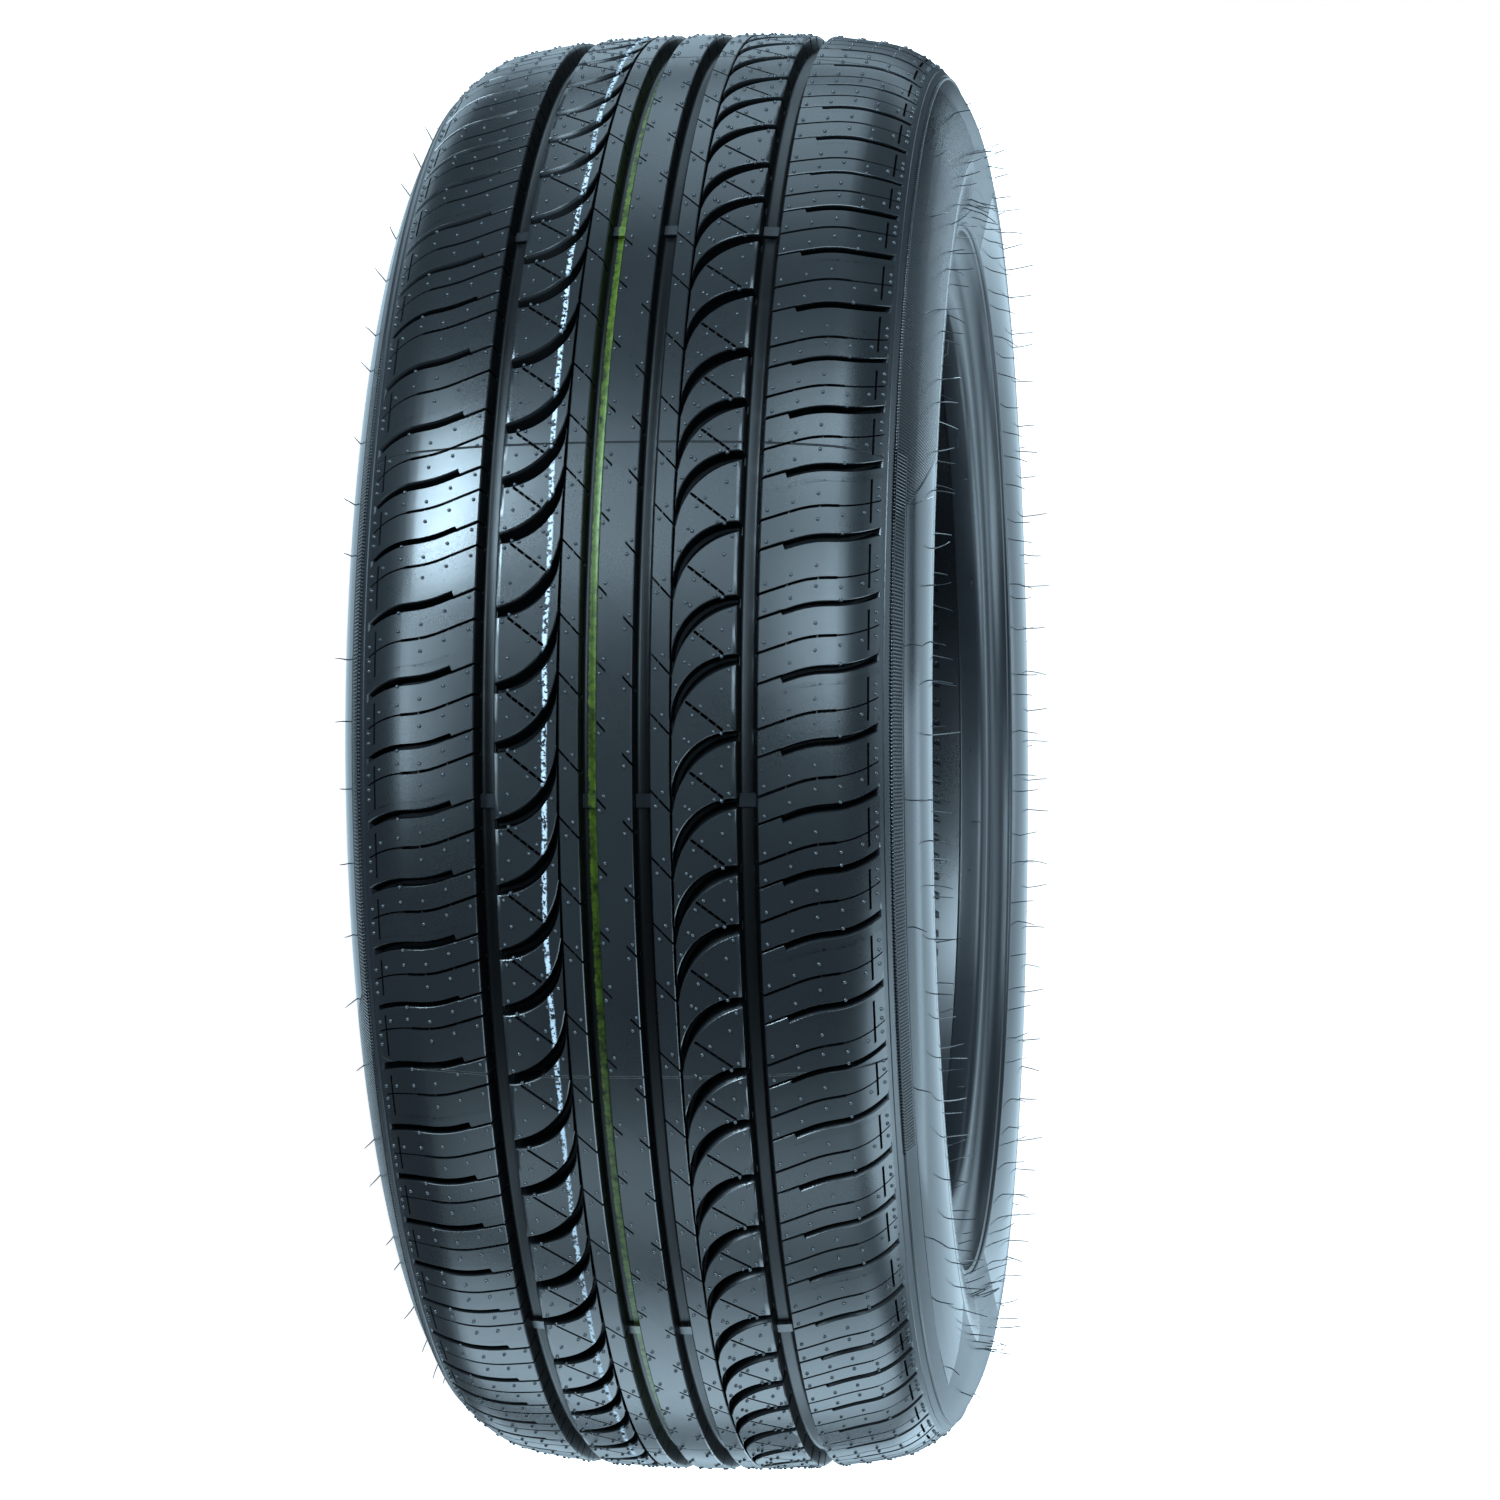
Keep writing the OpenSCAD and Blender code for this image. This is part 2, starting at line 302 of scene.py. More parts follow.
weights = np.array([LENGTH[letter] for letter in ORDER])
turns = weights * 360 / weights.sum()
starts = np.cumsum(turns) - turns


def pitches(side):
    """Start and size in degrees of each pitch of one half, in that half's own direction."""
    if side > 0:
        return FIRST_PITCH - HALF_SHIFT + starts, turns
    back = -np.arange(len(turns)) % len(turns)
    start = -(FIRST_PITCH + starts[back])
    start[1:] += 360
    return start, turns[back - 1]


print(len(ORDER), "pitches of", sorted({round(float(t), 2) for t in turns}), "degrees")

# %% [markdown]
# ## Materials
# Moulded rubber is nearly black, with a cool sheen where the mould was polished and a duller
# skin where it was blasted. Its finish could be painted on image textures. Here it is worked out
# from the place on the tyre, so it is as sharp as the render asks for. One small class writes
# shader maths as Python expressions.

# %% Shader maths
class Socket:
    """A shader value. Adding, multiplying or comparing two of them adds a Math node."""

    def __init__(self, tree, output):
        self.tree, self.output = tree, output

    def math(self, operation, *values):
        made = self.tree.nodes.new("ShaderNodeMath")
        made.operation = operation
        for i, value in enumerate(values):
            if isinstance(value, Socket):
                self.tree.links.new(value.output, made.inputs[i])
            else:
                made.inputs[i].default_value = value
        return Socket(self.tree, made.outputs[0])

    def __add__(self, other):
        return self.math("ADD", self, other)

    def __sub__(self, other):
        return self.math("SUBTRACT", self, other)

    def __mul__(self, other):
        return self.math("MULTIPLY", self, other)

    def __truediv__(self, other):
        return self.math("DIVIDE", self, other)

    def __rsub__(self, other):
        return self.math("SUBTRACT", other, self)

    def __gt__(self, other):
        return self.math("GREATER_THAN", self, other)

    __radd__, __rmul__ = __add__, __mul__


print("a shader value knows", [name for name in vars(Socket) if name.startswith("__r")])

# %% A material's nodes
class Shader:
    """A new material with a Principled shader, and one method for every other kind of node."""

    def __init__(self, name):
        self.material = bpy.data.materials.new(name)
        self.material.use_nodes = True
        self.tree = self.material.node_tree
        self.surface = self.tree.nodes["Principled BSDF"]

    def node(self, kind, settings=None, output=0, **inputs):
        """Adds a node, sets its own settings, then the values or links of its sockets."""
        made = self.tree.nodes.new("ShaderNode" + kind)
        for key, value in (settings or {}).items():
            setattr(made, key, value)
        for key, value in inputs.items():
            self.feed(made.inputs[int(key[1:]) if key[0] == "_" else key.replace("_", " ")], value)
        return Socket(self.tree, made.outputs[output])

    def feed(self, target, value):
        """Links a socket, or sets a plain value."""
        if isinstance(value, Socket):
            self.tree.links.new(value.output, target)
        else:
            target.default_value = value

    def set(self, name, value):
        self.feed(self.surface.inputs[name], value)

    def mix(self, factor, first, second):
        """Mixes two colours by a factor."""
        return self.node("Mix", {"data_type": "RGBA"}, 2, _0=factor, _6=first, _7=second)

    def place(self):
        """The point of the surface in the tyre's own frame, and its x, y and z."""
        point = self.node("TexCoord", output=3)
        parts = [self.node("SeparateXYZ", output=i, Vector=point) for i in range(3)]
        return point, *parts

    def noise(self, point, scale, detail=2.0):
        return self.node("TexNoise", Vector=point, Scale=scale, Detail=detail)

    def bump(self, height, distance, strength=1.0):
        self.set("Normal", self.node("Bump", Height=height, Distance=distance, Strength=strength))


print("materials start with", [m.name for m in bpy.data.materials])

# %% Masks
def root(value):
    return value.math("SQRT", value)


def size_of(value):
    return value.math("ABSOLUTE", value)


def rise(value, low, high):
    """0 below low, 1 above high and a straight ramp between them."""
    ramp = (value - low) / (high - low)
    return ramp.math("MINIMUM", ramp.math("MAXIMUM", ramp, 0.0), 1.0)


def between(value, low, high, soft):
    """1 from low to high, with ramps of twice soft at both ends."""
    return rise(value, low - soft, low + soft) * (1 - rise(value, high - soft, high + soft))


def around(y, x):
    """The angle of the point (x, y) round the axis, in radians."""
    return y.math("ARCTAN2", y, x)


print("helpers for masks", [helper.__name__ for helper in (root, size_of, rise, between, around)])

# %% [markdown]
# ## Plain rubber
# Every surface of the tyre has the same base: a black that is cloudy at the size of a hand, a
# roughness that wanders with it, and a grain finer than a millimetre. A single colour would look
# like plastic. A function makes the base, and each kind of surface adds its own marks to it.

# %% Plain rubber
# The colour below is the near black that is painted as shade in the grooves and along the
# sidewall's fine ribs.
SHADE_BLACK = (0.003, 0.0035, 0.004, 1)
CLOUD_SCALE = 14.0
GRAIN_SCALE = 700.0
GRAIN_HEIGHT = 0.00001


def rubber(name, colour, roughness):
    """Moulded rubber: a cloudy dark colour, a roughness that wanders and a fine grain. Its
    colour, roughness and height stay open, so that paint or relief can be added."""
    shader = Shader(name)
    point, x, y, z = shader.place()
    cloud = shader.noise(point, CLOUD_SCALE, 4.0)
    grain = shader.noise(point, GRAIN_SCALE, 2.0)
    lighter = tuple(1.5 * c for c in colour) + (1,)
    shader.skin = shader.mix(cloud, tuple(0.8 * c for c in colour) + (1,), lighter)
    shader.rough = roughness + (cloud - 0.5) * 0.16 + (grain - 0.5) * 0.06
    shader.height = grain * GRAIN_HEIGHT
    shader.cloud, shader.grain = cloud, grain
    shader.point, shader.x, shader.y, shader.z = point, x, y, z
    shader.radius = root(x * x + y * y)
    return shader


def finished(shader):
    """Feeds the shader with what it has gathered. The height is in metres."""
    shader.set("Base Color", shader.skin)
    shader.set("Roughness", shader.rough)
    shader.bump(shader.height, 1.0)
    return shader.material


# The stubs and hairs are the tread's rubber painted three times lighter, as a painted glint, and
# they are glossier.
stub_rubber_painted_glint = finished(rubber("stub_rubber_painted_glint", (0.022, 0.026, 0.030), 0.15))
print("the stubs are of", stub_rubber_painted_glint.name)

# %% [markdown]
# ## How deep a point lies
# Deep in a groove little light comes back, so shade is painted there: the rubber is painted black,
# its shine is taken away, and it is made a little rougher. Vertex colours could mark those places,
# but the section is known, so a shader can tell a point's depth from its radius and its height
# alone.

# %% Radius of the outside in a shader
def on_circle(height, centre, radius):
    """The radius of the outside where a height meets one of the section's arcs. Its centre and
    its radius are in millimetres, and the height is in metres."""
    over = height - centre[1] * MM
    return centre[0] * MM + root((radius * MM)**2 - over * over)


def outside_radius(height):
    """The radius of the tyre's outside at a height: the crown's arc, then the outer crown's, and
    past the shoulder's edge the shoulder's own."""
    crown = on_circle(height, crown_centre, CROWN_RADIUS)
    outer = on_circle(height, outer_crown_centre, OUTER_CROWN_RADIUS)
    shoulder = on_circle(height, shoulder_centre, SHOULDER_RADIUS)
    edge = outer_crown_centre[1] + OUTER_CROWN_RADIUS * math.sin(math.radians(shoulder_start))
    wider = (height > CROWN_HALF * MM) * (outer - crown)
    return crown + wider + (height > edge * MM) * (shoulder - outer)


def under_outside(shader):
    """How many metres a point lies under the outside, along the radius."""
    return outside_radius(size_of(shader.z)) - shader.radius


print("the shader's three arcs have radii", CROWN_RADIUS, OUTER_CROWN_RADIUS, SHOULDER_RADIUS)

# %% [markdown]
# ## Tread rubber
# The mould is made of eight segments, and where two meet, a thin line crosses the tread. One rib
# has a worn white marking line, painted in the factory. Both are masks in the angle and the
# height. Deep in the grooves shade is painted: the rubber there is painted black, and as a metal's
# shine takes its own colour, a black metal paints out its shine.

# %% Two lines of the tread as masks
SEGMENT = 45.0
SEGMENT_FROM = 22.5
SEGMENT_OFF = 0.6
WHITE_LINE = (-0.0274, -0.0257)


def segment_line(shader):
    """1 on the thin lines between the mould's segments."""
    turn = around(shader.y, shader.x) * (180 / math.pi)
    off = turn.math("FLOORED_MODULO", turn + SEGMENT_FROM, SEGMENT) - SEGMENT_OFF
    return 1 - rise(size_of(off), 0.04, 0.09)


def white_line(shader):
    """1 on the marking line, whose edges wander and which is worn off in spots. It lies on the
    top of its rib alone."""
    drift = (shader.cloud - 0.5) * 0.006 + (shader.grain - 0.5) * 0.0012
    line = between(shader.z + drift, *WHITE_LINE, 0.0003) * rise(shader.radius, 0.3118, 0.3122)
    return line * rise(shader.grain, 0.42, 0.5)


print("the white line is", round((WHITE_LINE[1] - WHITE_LINE[0]) / MM, 1), "mm wide")

# %% The material of the ribs
WHITE = (0.38, 0.43, 0.48, 1)
SEAM = (0.002, 0.002, 0.002, 1)
SEAM_DEPTH = 0.0005


def tread_material():
    """Rubber with the segment lines, the marking line and painted shade deep in the grooves:
    black, rougher and without shine.
    """
    shader = rubber("tread_rubber", (0.007, 0.008, 0.009), 0.29)
    line, white = segment_line(shader), white_line(shader)
    # Painted shade: deep in the grooves the rubber is painted black, and a black metal takes the
    # shine away there.
    deep = rise(under_outside(shader), 0.0006, 0.0016)
    shader.height = shader.height - line * SEAM_DEPTH
    shader.skin = shader.mix(white, shader.skin, WHITE)
    shader.skin = shader.mix(line, shader.skin, SEAM)
    shader.skin = shader.mix(deep, shader.skin, SHADE_BLACK)
    shader.rough = shader.rough + white * 0.3 + line * 0.6 + deep * 0.2
    shader.set("Metallic", deep * 0.85)
    return finished(shader)


tread = tread_material()
print("the ribs are of", tread.name)

# %% [markdown]
# ## Sidewall rubber
# The sidewall has smooth glossy fields, a band of fine radial ribs beside them, and a duller skin
# between. The fields come twice round the tyre, and the lower side is the upper one turned over,
# so its angle runs the other way. Raised meshes would need a hundred thousand faces for the ribs
# alone, so all of this is relief in the shader, from masks in the radius and the angle, and the
# fine ribs also get painted shade: black stripes without shine along them.

# %% Outside of the sidewalls as a mask
def outside_mask(shader):
    """1 on the outside of the sidewalls: further from the bulge's centre than the inside is."""
    across = shader.radius - BULGE_CENTRE[0] * MM
    above = size_of(shader.z) - BULGE_CENTRE[1] * MM
    far = rise(root(across * across + above * above), 0.0565, 0.0575)
    return far * rise(size_of(shader.z), 0.07, 0.08)


print("the bulge's centre lies at", BULGE_CENTRE * MM, "m")

# %% Smooth fields as masks
FIELD = (0.262, 0.2882)
START_SLANT = (0.2729, 260)
END_SLANT = (0.2675, 240)
INNER_FIELD = 0.2465
INNER_FIELD_MIDDLE, INNER_FIELD_HALF = 89.5, 80.5
METRES_PER_DEGREE = 0.0044
EDGE = 0.0002


def aslant(half, r, slant):
    """The angle along a slanting line: less so many degrees for each metre past a radius."""
    return half - (r - slant[0]) * slant[1]


def upper_field(half, r):
    """1 on the wide field near the shoulder, whose two ends are cut aslant."""
    started = rise(aslant(half, r, START_SLANT), 66.8, 67.2)
    ended = rise(aslant(half, r, END_SLANT), 151.6, 152.0)
    return between(r, *FIELD, EDGE) * started * (1 - ended)


def inner_field(half, r):
    """1 on the narrow field near the rim. Its half width is 14.4 mm and falls to nothing at its
    two ends as the root of the way left."""
    to_end = (INNER_FIELD_HALF - size_of(half - INNER_FIELD_MIDDLE)) * METRES_PER_DEGREE
    tip = root(rise(to_end, 0.0, 0.012))
    return 1 - rise(size_of(r - INNER_FIELD), 0.0142 * tip, 0.0146 * tip + 0.0001)


print("the upper field is", round((FIELD[1] - FIELD[0]) / MM, 1), "mm wide")

# %% Ribbed band as a mask
RIBBED_TO = 0.296
STEP_LINE = (0.2883, 0.2889)


def ribbed_band(half, r, field):
    """The fine ribs: wide before the upper field starts, and a narrow band beside it. The second
    mask is the thin step between that band and the field."""
    slanted = aslant(half, r, START_SLANT)
    wide = between(slanted, 12.0, 67.0, 0.2) * between(r, FIELD[0], RIBBED_TO, EDGE)
    beside = between(half, 67.0, 122.0, 0.2)
    narrow = beside * between(r, STEP_LINE[1], RIBBED_TO, EDGE)
    return wide * (1 - field) + narrow, between(r, *STEP_LINE, EDGE) * narrow


print("the narrow band is", round((RIBBED_TO - STEP_LINE[1]) / MM, 1), "mm wide")

# %% [markdown]
# ## Casing rubber
# One material covers the whole casing: the sidewalls, the liner inside with its slanted ridges,
# where the bladder of the press had its vents, and the floors of the grooves, one of which has a
# green marking line. Separate materials would need the casing cut up at each border.

# %% Liner, floors and green line as masks
RIDGE_COUNT = 190.0
RIDGE_SLANT = 220.0
GREEN_LINE = (-0.0109, -0.0080)


def liner_ridges(shader):
    """Ridges on the liner behind the tread, as a wave in the angle and the height."""
    r, z = shader.radius, shader.z
    liner = (1 - rise(r, 0.3030, 0.3034)) * (1 - rise(size_of(z), 0.065, 0.067))
    liner = liner * rise(r, 0.29, 0.292)
    slant = around(shader.y, shader.x) * RIDGE_COUNT + z * RIDGE_SLANT
    return liner * rise(slant.math("SINE", slant), 0.35, 0.95)


def painted_floor_shade(shader):
    """Where shade is painted: 1 on the floors of the grooves, but not on the wear bars that stand
    on them.
    """
    return rise(shader.radius, 0.3036, 0.3040) * rise(under_outside(shader), 0.0068, 0.0072)


def green_line(shader):
    """1 on the green marking line, which is patchy, as paint in a groove is."""
    place = shader.z + (shader.grain - 0.5) * 0.0012
    line = between(place, *GREEN_LINE, EDGE) * rise(shader.radius, 0.304, 0.305)
    patchy = shader.noise(shader.point, 260.0, 3.0)
    return line * rise(patchy + shader.grain * 0.5, 0.45, 0.9)


print("the liner has", int(RIDGE_COUNT), "ridges")

# %% The material of the casing
RIB_COUNT = 1300.0
GREEN = (0.12, 0.2, 0.01, 1)
FIELD_HEIGHT = 0.0003
RIB_HEIGHT = 0.0001
RIDGE_HEIGHT = 0.0005
STEP_HEIGHT = 0.0003


def casing_material():
    """Rubber with the sidewall's fields and ribs, the liner's ridges and the grooves' floors.
    Along the fine ribs and on the floors shade is painted: black, without shine.
    """
    shader = rubber("casing_rubber", (0.007, 0.008, 0.010), 0.33)
    r, z = shader.radius, shader.z
    turn = around(shader.y * z.math("SIGN", z), shader.x)
    half = turn.math("FLOORED_MODULO", turn, math.pi) * (180 / math.pi)
    outside = outside_mask(shader)
    upper = upper_field(half, r)
    field = (upper + inner_field(half, r)) * outside
    ribs, step = ribbed_band(half, r, upper)
    ribs = ribs * outside
    tooth = turn.math("SINE", turn * RIB_COUNT)
    # Painted shade: the fine ribs are painted black along half of each wave, and a black metal
    # takes the shine away there.
    rib_stripe_shade = ribs * rise(tooth, -0.1, 0.5)
    # Painted shade: the grooves' floors are painted black and rougher, and, but for the green
    # line, a black metal takes their shine away.
    groove, green = painted_floor_shade(shader), green_line(shader)
    shader.height = (shader.height + field * FIELD_HEIGHT + ribs * tooth * RIB_HEIGHT
                     + liner_ridges(shader) * RIDGE_HEIGHT + step * STEP_HEIGHT)
    shader.skin = shader.mix(rib_stripe_shade, shader.skin, SHADE_BLACK)
    shader.skin = shader.mix(groove, shader.skin, SHADE_BLACK)
    shader.skin = shader.mix(green, shader.skin, GREEN)
    shader.rough = shader.rough + outside * 0.08 - field * 0.2 - ribs * 0.1 - 0.04 + groove * 0.1
    shader.set("Metallic", groove * (1 - green) * 0.45 + rib_stripe_shade * 0.8)
    return finished(shader)


casing_rubber = casing_material()
print("materials", [m.name for m in bpy.data.materials])

# %% [markdown]
# ## Casing
# The casing is the tyre without its ribs: from the floor of the grooves out over the shoulder,
# down the sidewall, round the bead and back along the inner liner. It is one closed outline
# turned about the axis. A Screw modifier could turn it too, but its points are worked out here
# anyway, and an array is quick to turn and to check. The outline's upper half is written once
# and mirrored. Its first part is the floor of the grooves, with rounded corners, as the rubber
# would crack at sharp ones.

# %% Floors of the grooves
GROOVE_DEPTH = 8.0
INNER_GROOVE = (7.45, 10.3, 13.15)
OUTER_GROOVE = (47.05, 50.1, 53.15)
FILLET = 1.6
FILLET_STEPS = np.array([0.0, 0.12, 0.3, 0.6, 1.0, 1.6])


def fillet(wall, way):
    """Heights and depths of a rounded corner of a groove's floor. At t from its wall it stands
    R - sqrt(R^2 - (R - t)^2) above the floor, and inside the rib it steps down."""
    lift = FILLET - np.sqrt(FILLET**2 - (FILLET - FILLET_STEPS)**2)
    heights = wall + way * np.concatenate([[-0.3, -0.2], FILLET_STEPS])
    both = np.stack([heights, GROOVE_DEPTH - np.concatenate([[0, FILLET], lift])])
    return both[:, ::way]


def flat_floor(heights):
    return np.stack([heights, np.full(len(heights), GROOVE_DEPTH)])


def groove(wall, middle, other_wall):
    return np.hstack([fillet(wall, 1), flat_floor([middle]), fillet(other_wall, -1)])


floors = np.hstack([flat_floor([0.0]), groove(*INNER_GROOVE), flat_floor([17, 25, 33, 41]),
                    groove(*OUTER_GROOVE), flat_floor([60, 70, 80, 90, 96.5])])
print("the floors have", floors.shape[1], "points from the middle to the shoulder")

# %% [markdown]
# ## Edge of the shoulder
# Outside the ribs the casing steps up to the surface. Then come two raised rings, a broad flat
# one and a round one, where the halves of the mould and its segments met. Both could be relief
# in the shader, but they show in the tyre's silhouette, so they are points of the outline.

# %% Edge of the shoulder
STEP = ((97.6, 6.0), (98.0, 0.6), (98.3, 0.0), (98.9, 0.0))
FLAT_RING = ((99.8, 0), (99.95, -0.35), (101.55, -0.35), (101.7, 0))
ROUND_RING = ((102.1, 0), (102.25, -0.55), (102.5, -0.8), (102.75, -0.55), (102.9, 0))
PLAIN_SIDE = ((104.0, 0), (105.5, 0), (107.0, 0), (109.0, 0))


def outside_points(heights, depth):
    """Points (radius, height) at depths under the outside, along its normal."""
    radius, out, up = surface(heights)
    return np.stack([radius - depth * out, heights - depth * up], axis=1)


def tread_outline():
    """From the middle of the tread over the floors and the two rings to the sidewall."""
    edge = np.array([*STEP, *FLAT_RING, *ROUND_RING, *PLAIN_SIDE]).T
    return outside_points(*np.hstack([floors, edge]))


print("the outline starts at", np.round(tread_outline()[0], 2), "mm")

# %% [markdown]
# ## Sidewall and bead
# Below the shoulder the outline is made of arcs: the sidewall's bulge, the thin rim line that
# shows whether the tyre sits straight on its rim, the hollow that the rim's flange fits in, and
# the bead with its heel and its toe. Curves with handles could draw them, but arcs with known
# centres give the same section as the part's source.

# %% Sidewall and bead
BULGE_TO = (109.5, 232.6)
RIM_LINE = np.array([231.5, 107.61])
RIM_LINE_RADIUS = 1.4
FLANGE_CENTRE = np.array([219.5, 108.0])
FLANGE_RADIUS = 9.5
HEEL_RADIUS = 4.5
TOE_RADIUS = 1.5


def side_outline():
    """From the bulge down to the toe. The bulge runs from a height to a radius."""
    above = BULGE_TO[0] - BULGE_CENTRE[1]
    high = math.degrees(math.atan2(above, math.sqrt(BULGE_RADIUS**2 - above**2)))
    low = math.degrees(math.acos((BULGE_TO[1] - BULGE_CENTRE[0]) / BULGE_RADIUS))
    heel_centre = np.array([SEAT + HEEL_RADIUS, HEEL - HEEL_RADIUS])
    toe_centre = np.array([SEAT + TOE_RADIUS, TOE + TOE_RADIUS])
    return np.vstack([arc(BULGE_CENTRE, BULGE_RADIUS, high, low, 2.4),
                      arc(RIM_LINE, RIM_LINE_RADIUS, 44, 189, 0.45),
                      arc(FLANGE_CENTRE, FLANGE_RADIUS, -8, -90, 1.2),
                      arc(heel_centre, HEEL_RADIUS, 90, 180, 1.0),
                      arc(toe_centre, TOE_RADIUS, 180, 270, 0.6)])


print("the sidewall and the bead have", len(side_outline()), "points")

# %% [markdown]
# ## Liner
# The inside is a smooth layer of rubber that holds the air. It shows only through the opening,
# so its arcs have long steps. Its side is an arc about the bulge's centre, and a bend leads from
# that into the inner crown.

# %% Liner
INNER_BULGE_RADIUS = 52.0
INNER_CROWN_RADIUS = CROWN_RADIUS - 13.5
INNER_SHOULDER_RADIUS = 30.0


def liner_outline():
    """From the toe along the side, the bend and the inner crown to the tread's middle."""
    centre = meet(crown_centre, INNER_CROWN_RADIUS - INNER_SHOULDER_RADIUS,
                  BULGE_CENTRE, INNER_BULGE_RADIUS - INNER_SHOULDER_RADIUS)
    bend_from, bend_to = angle_of(centre - BULGE_CENTRE), angle_of(centre - crown_centre)
    above = (TOE - BULGE_CENTRE[1]) / INNER_BULGE_RADIUS
    side_from = math.degrees(math.acos(-math.sqrt(1 - above**2)))
    return np.vstack([arc(BULGE_CENTRE, INNER_BULGE_RADIUS, side_from, bend_from, 7.0),
                      arc(centre, INNER_SHOULDER_RADIUS, bend_from, bend_to, 5.0)[1:],
                      arc(crown_centre, INNER_CROWN_RADIUS, bend_to, 0, 12.0)[1:]])


print("the liner has", len(liner_outline()), "points")

# %% Casing
ROUND_STEPS = 336


def revolved(outline):
    """Turns a closed outline of (radius, height) points about the axis."""
    a = np.linspace(0, 2 * math.pi, ROUND_STEPS, endpoint=False)[:, None]
    r, h = outline[:, 0][None], outline[:, 1][None]
    return np.stack([r * np.cos(a), r * np.sin(a), h + 0 * a], axis=-1) * MM


upper = np.vstack([tread_outline(), side_outline(), liner_outline()])
lower = upper[::-1][1:-1] * np.array([1, -1])
casing = piece("casing", [(revolved(np.vstack([lower, upper])), True, True)], casing_rubber, 30)
print("the casing is", [round(1000 * length, 1) for length in casing.dimensions], "mm in size")

# %% [markdown]
# ## Ribs beside the centre
# A sipe is a thin cut that opens on wet roads. Cutting sipes with Booleans would be slow and
# would leave poor faces, so a rib is a grid whose rows lie on both edges of each sipe and on its
# floor. In these three ribs that is simplest: the sipes of a rib are straight, and all its rows
# have the same slant.

# %% Rows of a rib
BAND_FLOOR = GROOVE_DEPTH + 0.6
CHAMFER = 0.35
SIPE_DEPTH = 4.5
ROW_GAP = 1.3


def fill_rows(rows):
    """Adds plain rows where two rows of (angle, depths) lie more than ROW_GAP degrees apart."""
    rows = sorted(rows, key=lambda row: row[0])
    closed = rows + [(rows[0][0] + 360, rows[0][1])]
    full = []
    for row, after in zip(rows, closed[1:]):
        full.append(row)
        count = int((after[0] - row[0]) / ROW_GAP)
        full += [(row[0] + (after[0] - row[0]) * (k + 1) / (count + 1), 0 * row[1])
                 for k in range(count)]
    return full


def sipe_rows(angle, depths, half):
    """The four rows of a sipe: edge, floor, floor, edge."""
    wide, narrow = (half + 0.03) / MM_PER_DEGREE, half / MM_PER_DEGREE
    return [(angle - wide, 0 * depths), (angle - narrow, depths),
            (angle + narrow, depths), (angle + wide, 0 * depths)]


print("a row at least every", ROW_GAP, "degrees")

# %% A rib as a grid
def band(columns, side_depth, slant, rows, side=1):
    """A rib as a grid closed both ways. Columns are heights across the rib, side_depth is how
    deep its two walls are there, and slant shifts each column round the tyre."""
    angles = np.array([row[0] for row in rows])[:, None]
    depths = np.array([row[1] for row in rows])
    depth = np.maximum(depths, side_depth[None])
    return on_tyre(angles + slant[None] / MM_PER_DEGREE, columns[None] + 0 * angles, depth, side)


def walls(columns, left_draft, right_draft):
    """Adds to a rib's columns its two walls and their chamfers."""
    full = np.concatenate([[columns[0] - left_draft], [columns[0]], [columns[0] + CHAMFER],
                           columns[1:-1], [columns[-1] - CHAMFER], [columns[-1]],
                           [columns[-1] + right_draft]])
    depth = np.zeros(len(full))
    depth[[0, -1]] = BAND_FLOOR
    depth[[1, -2]] = CHAMFER
    return full, depth


print("a rib's columns", walls(np.array([0.0, 5.0]), 1.0, 1.0)[0])

# %% Middle rib
DRAFT = 0.9
CENTRE_SLOPE = 1.11
CENTRE_HALF = 0.6
RIGHT_SIPE = 11.03 - 7.6
LEFT_SIPE = 23.7 + 7.6


def centre_rib():
    """The middle rib, with blind sipes that reach in from both of its grooves."""
    columns, side_depth = walls(np.array([-6.85, -5.6, -4.4, -3.3, -3.2, 0, 3.2, 3.3, 4.4, 5.6,
                                          6.85]), DRAFT, DRAFT)
    right = np.where(columns > 3.25, SIPE_DEPTH, 0.0)
    left = right[::-1].copy()
    rows = []
    for a in pitches(1)[0]:
        rows += sipe_rows(a + RIGHT_SIPE / MM_PER_DEGREE, right, CENTRE_HALF)
        rows += sipe_rows(a + LEFT_SIPE / MM_PER_DEGREE, left, CENTRE_HALF)
    return band(columns, side_depth, CENTRE_SLOPE * columns, fill_rows(rows))


middle_grid = centre_rib()
print("the middle rib's grid", middle_grid.shape)

# %% Narrow ribs
LINE_EDGE = 21.05
NARROW_SIPE = 5.22
NARROW_HALF = 0.55


def narrow_climb(height):
    """How far the sipe of a narrow rib has climbed round the tyre at a height."""
    return (height - LINE_EDGE) * 8 / 7.3


def narrow_rib(side):
    """The rib between an inner groove and the thin line, cut across by a slanting sipe. A tie in
    the sipe's middle holds its two sides together."""
    columns, side_depth = walls(np.array([13.75, 15.2, 16.6, 17.0, 18.4, 19.7, LINE_EDGE]),
                                DRAFT, 0.0)
    depths = np.where(np.abs(columns - 16.8) < 0.4, 0.8, SIPE_DEPTH)
    rows = []
    for a in pitches(side)[0]:
        rows += sipe_rows(a + NARROW_SIPE, depths, NARROW_HALF)
    return band(columns, side_depth, narrow_climb(columns), fill_rows(rows), side)


middle = piece("centre_ribs", [(middle_grid, True, True), (narrow_rib(1), True, True),
                               (narrow_rib(-1), True, True)], tread, 35)
print("the ribs beside the centre have", len(middle.data.polygons), "faces")

# %% [markdown]
# ## Ribs with the curved grooves
# Each block lies between two curved grooves. Its upper edge is the inner edge of one groove,
# its lower edge the outer edge of the next, and both are arcs of circles. A sipe crosses it
# from one to the other. Straight rows would cut those arcs into steps, so the rows run along
# the upper edge, then along the sipe, then along the lower edge, and where they fall together
# they are merged. All points of a block are taken at the same steps s, from 0 at the main
# groove to 1 at the thin line.

